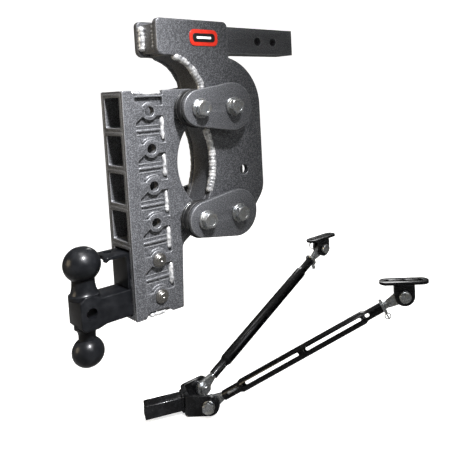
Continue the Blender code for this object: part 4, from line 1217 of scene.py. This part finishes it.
class HITCH_OT_kit_base(bpy.types.Operator):
    """Square tube, bent yoke, the weld between them, and the two pivot bolts"""
    bl_idname = "hitch.kit_base"
    bl_label = "Kit base"

    def execute(self, context):
        base, struts = kit_places()
        inner = INSERT_HALF - 0.0045
        loops = [
            rectangle(INSERT_HALF, INSERT_HALF, 0.0030), rectangle(inner, inner, 0.0012)]
        tube = flat_piece(loops, -0.0818, -GAP, 0.0005, base @ END_ON)
        finish_piece(tube, "kit_tube", "stabilizer_base", "gloss", "stabilizer_tube")
        self.make_yoke(base, struts["left"][1])
        half = INSERT_HALF + 0.0012
        ring = rectangle(half, half, 0.004)
        path = [base @ Vector((-0.0010, y, z)) for y, z in ring + ring[:1]]
        weld = weld_bead(path, 0.0030, 0.0040, 61, 0.16)
        finish_piece(weld, "kit_weld", "stabilizer_base", "gloss")
        for word, (side, bolt, _) in struts.items():
            self.make_bolt(word, side, bolt)
        return {"FINISHED"}

    def make_yoke(self, base, left_bolt):
        heading = (base.inverted() @ left_bolt).to_3x3() @ Vector((1, 0, 0))
        angle = math.atan2(heading.y, heading.x)
        offset = JAW_T / 2 + GAP + YOKE_T / 2
        t, r = YOKE_T / 2, YOKE_H / 2
        ends = []
        for side in (1.0, -1.0):
            ahead = Vector((math.cos(angle), side * math.sin(angle)))
            across = Vector((-side * math.sin(angle), math.cos(angle))) * side
            at_bolt = Vector((YOKE_BOLT_A, side * YOKE_BOLT_B)) + across * offset
            bend = at_bolt - ahead * ((at_bolt.x - YOKE_T / 2) / ahead.x)
            ends.append((at_bolt + ahead * r, bend, ahead, across * t, at_bolt))
        (tip_l, bend_l, ahead_l, out_l, _), (tip_r, bend_r, ahead_r, out_r, _) = ends
        plan = rounded([
            (*(tip_l - out_l), 0.0), (*(tip_l + out_l), 0.0),
            (*(bend_l + out_l - ahead_l * 0.002), 0.012),
            (*(bend_r + out_r - ahead_r * 0.002), 0.012),
            (*(tip_r + out_r), 0.0), (*(tip_r - out_r), 0.0),
            (*(bend_r - out_r + ahead_r * t), 0.004), (*(bend_l - out_l + ahead_l * t), 0.004),
        ], 8)
        yoke = flat_piece([plan], -r, r, 0.0010, Matrix.Identity(4))
        outer = [(-0.2, -0.1), (0.2, -0.1), (0.2, 0.1), (-0.2, 0.1)]
        kept = arc(0, 0, r - 0.0004, 90.0, -90.0, 24) + [(-0.150, -r - 0.001), (-0.150, r + 0.001)]
        for _, _, ahead, out, at_bolt in ends:
            ear = Matrix((
                (ahead.x, 0, ahead.y, at_bolt.x), (ahead.y, 0, -ahead.x, at_bolt.y),
                (0, 1, 0, 0), (0, 0, 0, 1)))
            cut(yoke, flat_piece([outer, kept], -0.012, 0.012, 0.0, ear))
            reach = out * (0.02 / t)
            cut(yoke, rod(0.0082, (*(at_bolt - reach), 0), (*(at_bolt + reach), 0)))
        smooth(yoke)
        settle(yoke, base)
        finish_piece(yoke, "kit_yoke", "stabilizer_base", "gloss", "stabilizer_yoke")

    def make_bolt(self, word, side, bolt):
        rise = -math.asin((bolt.to_3x3() @ Vector((1, 0, 0))).z)
        level = bolt @ Matrix.Rotation(-rise, 4, "Y")
        inner = JAW_T / 2 + GAP
        seat = inner + YOKE_T + GAP
        stub = inner + 0.0130
        out = Vector((0, side, 0))
        made = join([
            hex_piece(0.0238, 0.0098, out * (seat + 0.0024), out, 0.0006),
            turned(chamfered(0.0133, 0.0, 0.0025, 0.0005), 64, out * seat, out),
            turned(chamfered(ROD_R, 0.0, seat + stub, 0.0008), 64, out * -stub, out),
            hex_piece(0.0238, 0.0098, out * -inner, -out),
        ])
        settle(made, level)
        node = "yoke_bolt_" + word
        finish_piece(made, node + "_set", "stabilizer_base", "zinc", node)


def set_out(rows, place):
    """Copy each model to both struts, at the bolt (place 1) or the bracket's pin (place 2)."""
    for word, strut in kit_places()[1].items():
        for models, name, body, look, node in rows:
            twin = copy_of(models[word], strut[place])
            finish_piece(twin, name + word, body + word, look, node + word)
    discard(*{model for row in rows for model in row[0].values()})


def both(model):
    """One model for both struts."""
    return {word: model for word, _ in SIDES}


def threaded(radius, start, end, pitch):
    """A rod's profile with a thread's crests and roots, chamfered at both ends."""
    points = [(0.0, start), (radius * 0.82, start)]
    z = start + pitch / 2
    while z < end - pitch:
        points += [(radius * 0.88, z), (radius, z + pitch * 0.4), (radius, z + pitch * 0.55)]
        z += pitch
    return points + [(radius * 0.88, z), (radius * 0.88, end), (0.0, end)]


def eye_end(x_eye, x_stem, rod_from, rod_to, pitch):
    """A flat eye that tapers into a threaded rod, along X."""
    sign, turn = (1.0, 0.0) if x_stem > x_eye else (-1.0, 180.0)
    outline = arc(x_eye, 0, JAW_R, 60.0 + turn, 300.0 + turn, 36)
    outline += [(x_stem, -sign * ROD_R * 0.95), (x_stem, sign * ROD_R * 0.95)]
    eye = flat_piece([outline, circle(x_eye, 0, PIN_BORE)], -JAW_T / 2, JAW_T / 2, 0.0010)
    stem = turned(threaded(ROD_R, rod_from, rod_to, pitch), 32, (0, 0, 0), (1, 0, 0))
    return join([eye, stem])


class HITCH_OT_struts(bpy.types.Operator):
    """Jaws, slotted turnbuckle bodies, eyes and lock rings"""
    bl_idname = "hitch.struts"
    bl_label = "Struts"

    def execute(self, context):
        left_bolt = kit_places()[1]["left"][1]
        pitch = context.scene.hitch_sizes.thread_pitch
        jaw = eye_end(0.0, BODY_START - 0.002, BODY_START - 0.006, BODY_START + 0.042, pitch)
        length = (left_bolt.inverted() @ Vector(JOINTS["bracket_tilt_left"]["pos_m"])).x
        eye = eye_end(length, BODY_END + 0.014, BODY_END - 0.029, BODY_END + 0.017, pitch)
        bodies = {"left": self.make_body(0.0), "right": self.make_body(math.radians(-20.0))}
        ring = self.make_ring()
        set_out((
            (both(jaw), "strut_fork_", "strut_jaw_", "zinc", "strut_jaw_"),
            (bodies, "turnbuckle_tube_", "turnbuckle_", "gloss", "turnbuckle_"),
            (both(eye), "strut_loop_", "strut_eye_", "zinc", "strut_eye_"),
            (both(ring), "lock_collar_", "turnbuckle_", "zinc", "lock_ring_"),
        ), 1)
        return {"FINISHED"}

    def make_body(self, roll):
        collar, wide = 0.0108, 0.0142
        a, b = BODY_START, BODY_END
        half = [
            (PIN_BORE, 0.0), (collar - 0.0006, 0.0), (collar, 0.0006),
            (collar, COLLAR_L - 0.0085), (collar + 0.0004, COLLAR_L - 0.0070),
            (wide - 0.0004, COLLAR_L - 0.0010), (wide, COLLAR_L),
        ]
        profile = [(r, a + x) for r, x in half] + [(r, b - x) for r, x in half[::-1]]
        body = turned(profile + profile[:1], 64, (0, 0, 0), (1, 0, 0))
        middle = (a + b) / 2
        for low, high in (
            (a + 0.012, a + COLLAR_L - 0.006), (a + COLLAR_L + 0.004, middle - 0.006),
            (middle + 0.006, b - COLLAR_L - 0.004), (b - COLLAR_L + 0.003, b - COLLAR_L + 0.016),
        ):
            slot = flat_piece([stadium(low, high, 0.0037)], -0.03, 0.03, 0.0)
            settle(slot, Matrix.Rotation(roll, 4, "X"))
            cut(body, slot)
        smooth(body)
        return body

    def make_ring(self):
        x = BODY_END + 0.0003
        profile = [
            (PIN_BORE, 0.0), (0.0154, 0.0), (0.0160, 0.0006), (0.0160, 0.0044),
            (0.0154, 0.0050), (PIN_BORE, 0.0050), (PIN_BORE, 0.0)]
        ring = turned(profile, 48, (x, 0, 0), (x + 1, 0, 0))
        tab = block((x, -0.004, -0.0298), (x + 0.0022, 0.004, -0.0125), 0.0007)
        bpy.ops.object.select_all(action="DESELECT")
        bpy.ops.mesh.primitive_torus_add(
            major_radius=0.0062, minor_radius=0.0010, major_segments=36, minor_segments=10)
        loop = bpy.context.active_object
        settle(loop, Matrix.Translation((x + 0.0012, 0, -0.0235)) @ FLAT_XZ)
        smooth(loop)
        made = join([ring, tab, loop])
        smooth(made)
        return made


class HITCH_OT_brackets(bpy.types.Operator):
    """Frame brackets with their pins and hairpin clips"""
    bl_idname = "hitch.brackets"
    bl_label = "Frame brackets"

    def execute(self, context):
        set_out((
            (both(self.make_bracket()), "rail_bracket_", "bracket_", "gloss", "frame_bracket_"),
            (both(self.make_pin()), "rail_pin_", "bracket_", "zinc", "bracket_pin_"),
            (both(self.make_clip()), "hairpin_", "bracket_clip_", "wire", "bracket_clip_"),
        ), 2)
        return {"FINISHED"}

    def make_bracket(self):
        length, width, thick, ear_r = 0.1060, 0.0320, 0.0064, 0.0215
        loops = [stadium(-length / 2, length / 2, width / 2, 0.0, 24)]
        loops += [circle(i * 0.0360, 0, 0.0050) for i in (-1, 0, 1)]
        low = BRACKET_RISE - thick
        plate = flat_piece(loops, low, BRACKET_RISE, 0.0010, Matrix.Identity(4))
        outer = EAR_INNER + EAR_T
        top = low + 0.0005
        ceiling = top - EAR_T + 0.001
        channel = rounded([
            (-outer, -0.03, 0.0), (-EAR_INNER, -0.03, 0.0), (-EAR_INNER, ceiling, 0.0015),
            (EAR_INNER, ceiling, 0.0015), (EAR_INNER, -0.03, 0.0), (outer, -0.03, 0.0),
            (outer, top, 0.0050), (-outer, top, 0.0050),
        ], 8)
        ears = flat_piece([channel], -ear_r, ear_r, 0.0, END_ON)
        shape = arc(0, 0, ear_r, 180.0, 360.0, 40) + [(ear_r, top + 0.003), (-ear_r, top + 0.003)]
        combine(ears, flat_piece([shape, circle(0, 0, 0.0082)], -0.02, 0.02, 0.0), "INTERSECT")
        round_edges(ears, 0.0007, 2, math.radians(60))
        smooth(ears)
        return join([plate, ears])

    def make_pin(self):
        tip = -PIN_FACE - PIN_FACE - 0.016
        profile = [
            (0.0, 0.0100), (0.0090, 0.0100), (0.0112, 0.0094), (0.0124, 0.0082),
            (0.0128, 0.0070), (0.0128, 0.0006), (0.0122, 0.0), (ROD_R, 0.0),
            (ROD_R, tip + 0.0025), (0.0060, tip), (0.0, tip),
        ]
        pin = turned(profile, 64, (0, -PIN_FACE, 0), (0, -PIN_FACE - 1, 0))
        hole_y = PIN_FACE + CLIP_OUT
        cut(pin, rod(0.0016, (0, hole_y, -0.02), (0, hole_y, 0.02), 24))
        smooth(pin)
        return pin

    def make_clip(self):
        """A hairpin of wire: one straight leg through the pin, one bent round it to a loop."""
        wire = 0.0013
        y = PIN_FACE + CLIP_OUT
        rise = ROD_R + wire + GAP
        points = [(y, -rise - 0.004), (y, rise + 0.001), (y + 0.0025, rise + 0.0035)]
        points.append((y + 0.0080, rise + 0.0030))
        points += arc(y + 0.0260 - rise * 0.7, 0, rise * 0.7, 75.0, -75.0, 24)
        points.append((y + 0.0120, -rise))
        clip = curve_mesh(
            [[(0.0, py, pz, 1.0) for py, pz in points]], dimensions="3D", bevel_depth=wire,
            bevel_resolution=3, use_fill_caps=True)
        clean(clip)
        smooth(clip, math.radians(50))
        return clip


# ---- stage -------------------------------------------------------------------
class HITCH_OT_stage(bpy.types.Operator):
    """Seamless floor that rises all round, soft lights, and the camera"""
    bl_idname = "hitch.stage"
    bl_label = "Stage"

    def execute(self, context):
        stage = context.scene.hitch_stage
        low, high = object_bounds()
        centre = (Vector(low) + Vector(high)) / 2
        floor_z = low[2] - stage.floor_gap
        flat_r, rise_r, wall = 3.2, 1.6, 5.0
        profile = [(0.0, 0.0), (flat_r, 0.0)]
        profile += [
            (flat_r + rise_r * math.sin(a), rise_r - rise_r * math.cos(a))
            for a in (math.radians(6 * i) for i in range(1, 16))]
        profile.append((flat_r + rise_r, wall))
        bowl = turned(profile, 96, (centre.x, 0, floor_z), (centre.x, 0, floor_z + 1))
        bowl.name = "studio_bowl"
        bowl.data.materials.append(finish("stage"))
        bowl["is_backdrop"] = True
        world = bpy.data.worlds.new("studio_light")
        context.scene.world = world
        world.use_nodes = True
        back = world.node_tree.nodes["Background"]
        back.inputs["Color"].default_value = (1.0, 1.0, 1.0, 1.0)
        back.inputs["Strength"].default_value = 0.38
        lights = (
            ("side", (-0.3, -2.0, 0.6), 0.8, 0.20, "#F6F8FF"),
            ("top", (-0.6, -0.3, 1.8), 0.9, 0.44, "#FFFFFF"),
            ("fill", (-2.2, 0.7, 0.1), 1.0, 0.40, "#FFEBC8"),
            ("back", (1.4, 1.2, 1.0), 1.2, 0.90, "#FFFFFF"),
        )
        for name, spot, size, share, tint in lights:
            lamp = bpy.data.lights.new(name, "AREA")
            lamp.shape = "DISK"
            lamp.size = size
            self.hang(context, stage, lamp, spot, centre, share, tint)
        key = bpy.data.lights.new("key", "SPOT")
        key.spot_size = math.radians(23)
        key.spot_blend = 1.0
        key.shadow_soft_size = 0.10
        pool = Vector((-0.51, -0.09, -0.11))
        self.hang(context, stage, key, (-0.54, -1.35, 1.30), pool, 28.0, "#FBFBFF")
        self.make_camera(context)
        return {"FINISHED"}

    def hang(self, context, stage, lamp, spot, target, share, tint):
        """Place a lamp and aim it; the camera doesn't see it."""
        lamp.energy = stage.key_power * share
        lamp.color = colour(tint)[:3]
        holder = bpy.data.objects.new(lamp.name + "_light", lamp)
        context.scene.collection.objects.link(holder)
        holder.location = spot
        holder.visible_camera = False
        holder.rotation_euler = (target - Vector(spot)).to_track_quat("-Z", "Y").to_euler()

    def make_camera(self, context):
        camera = bpy.data.cameras.new("camera")
        camera.lens = 44.97
        camera.sensor_width = 36.0
        camera.shift_x = -0.1771
        camera.shift_y = -0.1951
        camera.clip_end = 50.0
        holder = bpy.data.objects.new("camera", camera)
        context.scene.collection.objects.link(holder)
        forward = Vector((0.70413, 0.70587, -0.07717))
        right = Vector((0.70492, -0.70795, -0.04363))
        up = Vector((0.08543, 0.02368, 0.99606))
        turn = Matrix((right, up, -forward)).transposed().to_4x4()
        holder.matrix_world = Matrix.Translation((-0.8334, -0.8879, -0.1073)) @ turn
        context.scene.camera = holder
        context.scene.view_settings.view_transform = "Standard"


# ---- add-on ------------------------------------------------------------------
MAKERS = (
    HITCH_OT_stage, HITCH_OT_shank, HITCH_OT_frame_plates, HITCH_OT_frame_welds, HITCH_OT_badge,
    HITCH_OT_bushes, HITCH_OT_links, HITCH_OT_bolts, HITCH_OT_tubes, HITCH_OT_tower_plates,
    HITCH_OT_tower_welds, HITCH_OT_ball_mount, HITCH_OT_pintle_lock, HITCH_OT_hitch_pins,
    HITCH_OT_kit_base, HITCH_OT_struts, HITCH_OT_brackets,
)


class HITCH_PT_panel(bpy.types.Panel):
    """Lists every maker in the 3D view's sidebar"""
    bl_idname = "HITCH_PT_panel"
    bl_label = "Drop hitch"
    bl_space_type = "VIEW_3D"
    bl_region_type = "UI"
    bl_category = "Hitch"

    def draw(self, context):
        column = self.layout.column()
        scene = context.scene
        for group in (scene.hitch_finishes, scene.hitch_sizes, scene.hitch_stage):
            for name in group.__annotations__:
                column.prop(group, name)
        for maker in MAKERS:
            column.operator(maker.bl_idname)


GROUPS = (HitchFinishes, HitchSizes, HitchStage)


def register():
    for group in (*GROUPS, *MAKERS, HITCH_PT_panel):
        bpy.utils.register_class(group)
    bpy.types.Scene.hitch_finishes = bpy.props.PointerProperty(type=HitchFinishes)
    bpy.types.Scene.hitch_sizes = bpy.props.PointerProperty(type=HitchSizes)
    bpy.types.Scene.hitch_stage = bpy.props.PointerProperty(type=HitchStage)


def unregister():
    del bpy.types.Scene.hitch_stage
    del bpy.types.Scene.hitch_sizes
    del bpy.types.Scene.hitch_finishes
    for group in (HITCH_PT_panel, *reversed(MAKERS), *reversed(GROUPS)):
        bpy.utils.unregister_class(group)


def main():
    register()
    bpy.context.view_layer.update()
    for maker in MAKERS:
        family, name = maker.bl_idname.split(".")
        getattr(getattr(bpy.ops, family), name)()


if __name__ == "__main__":
    main()
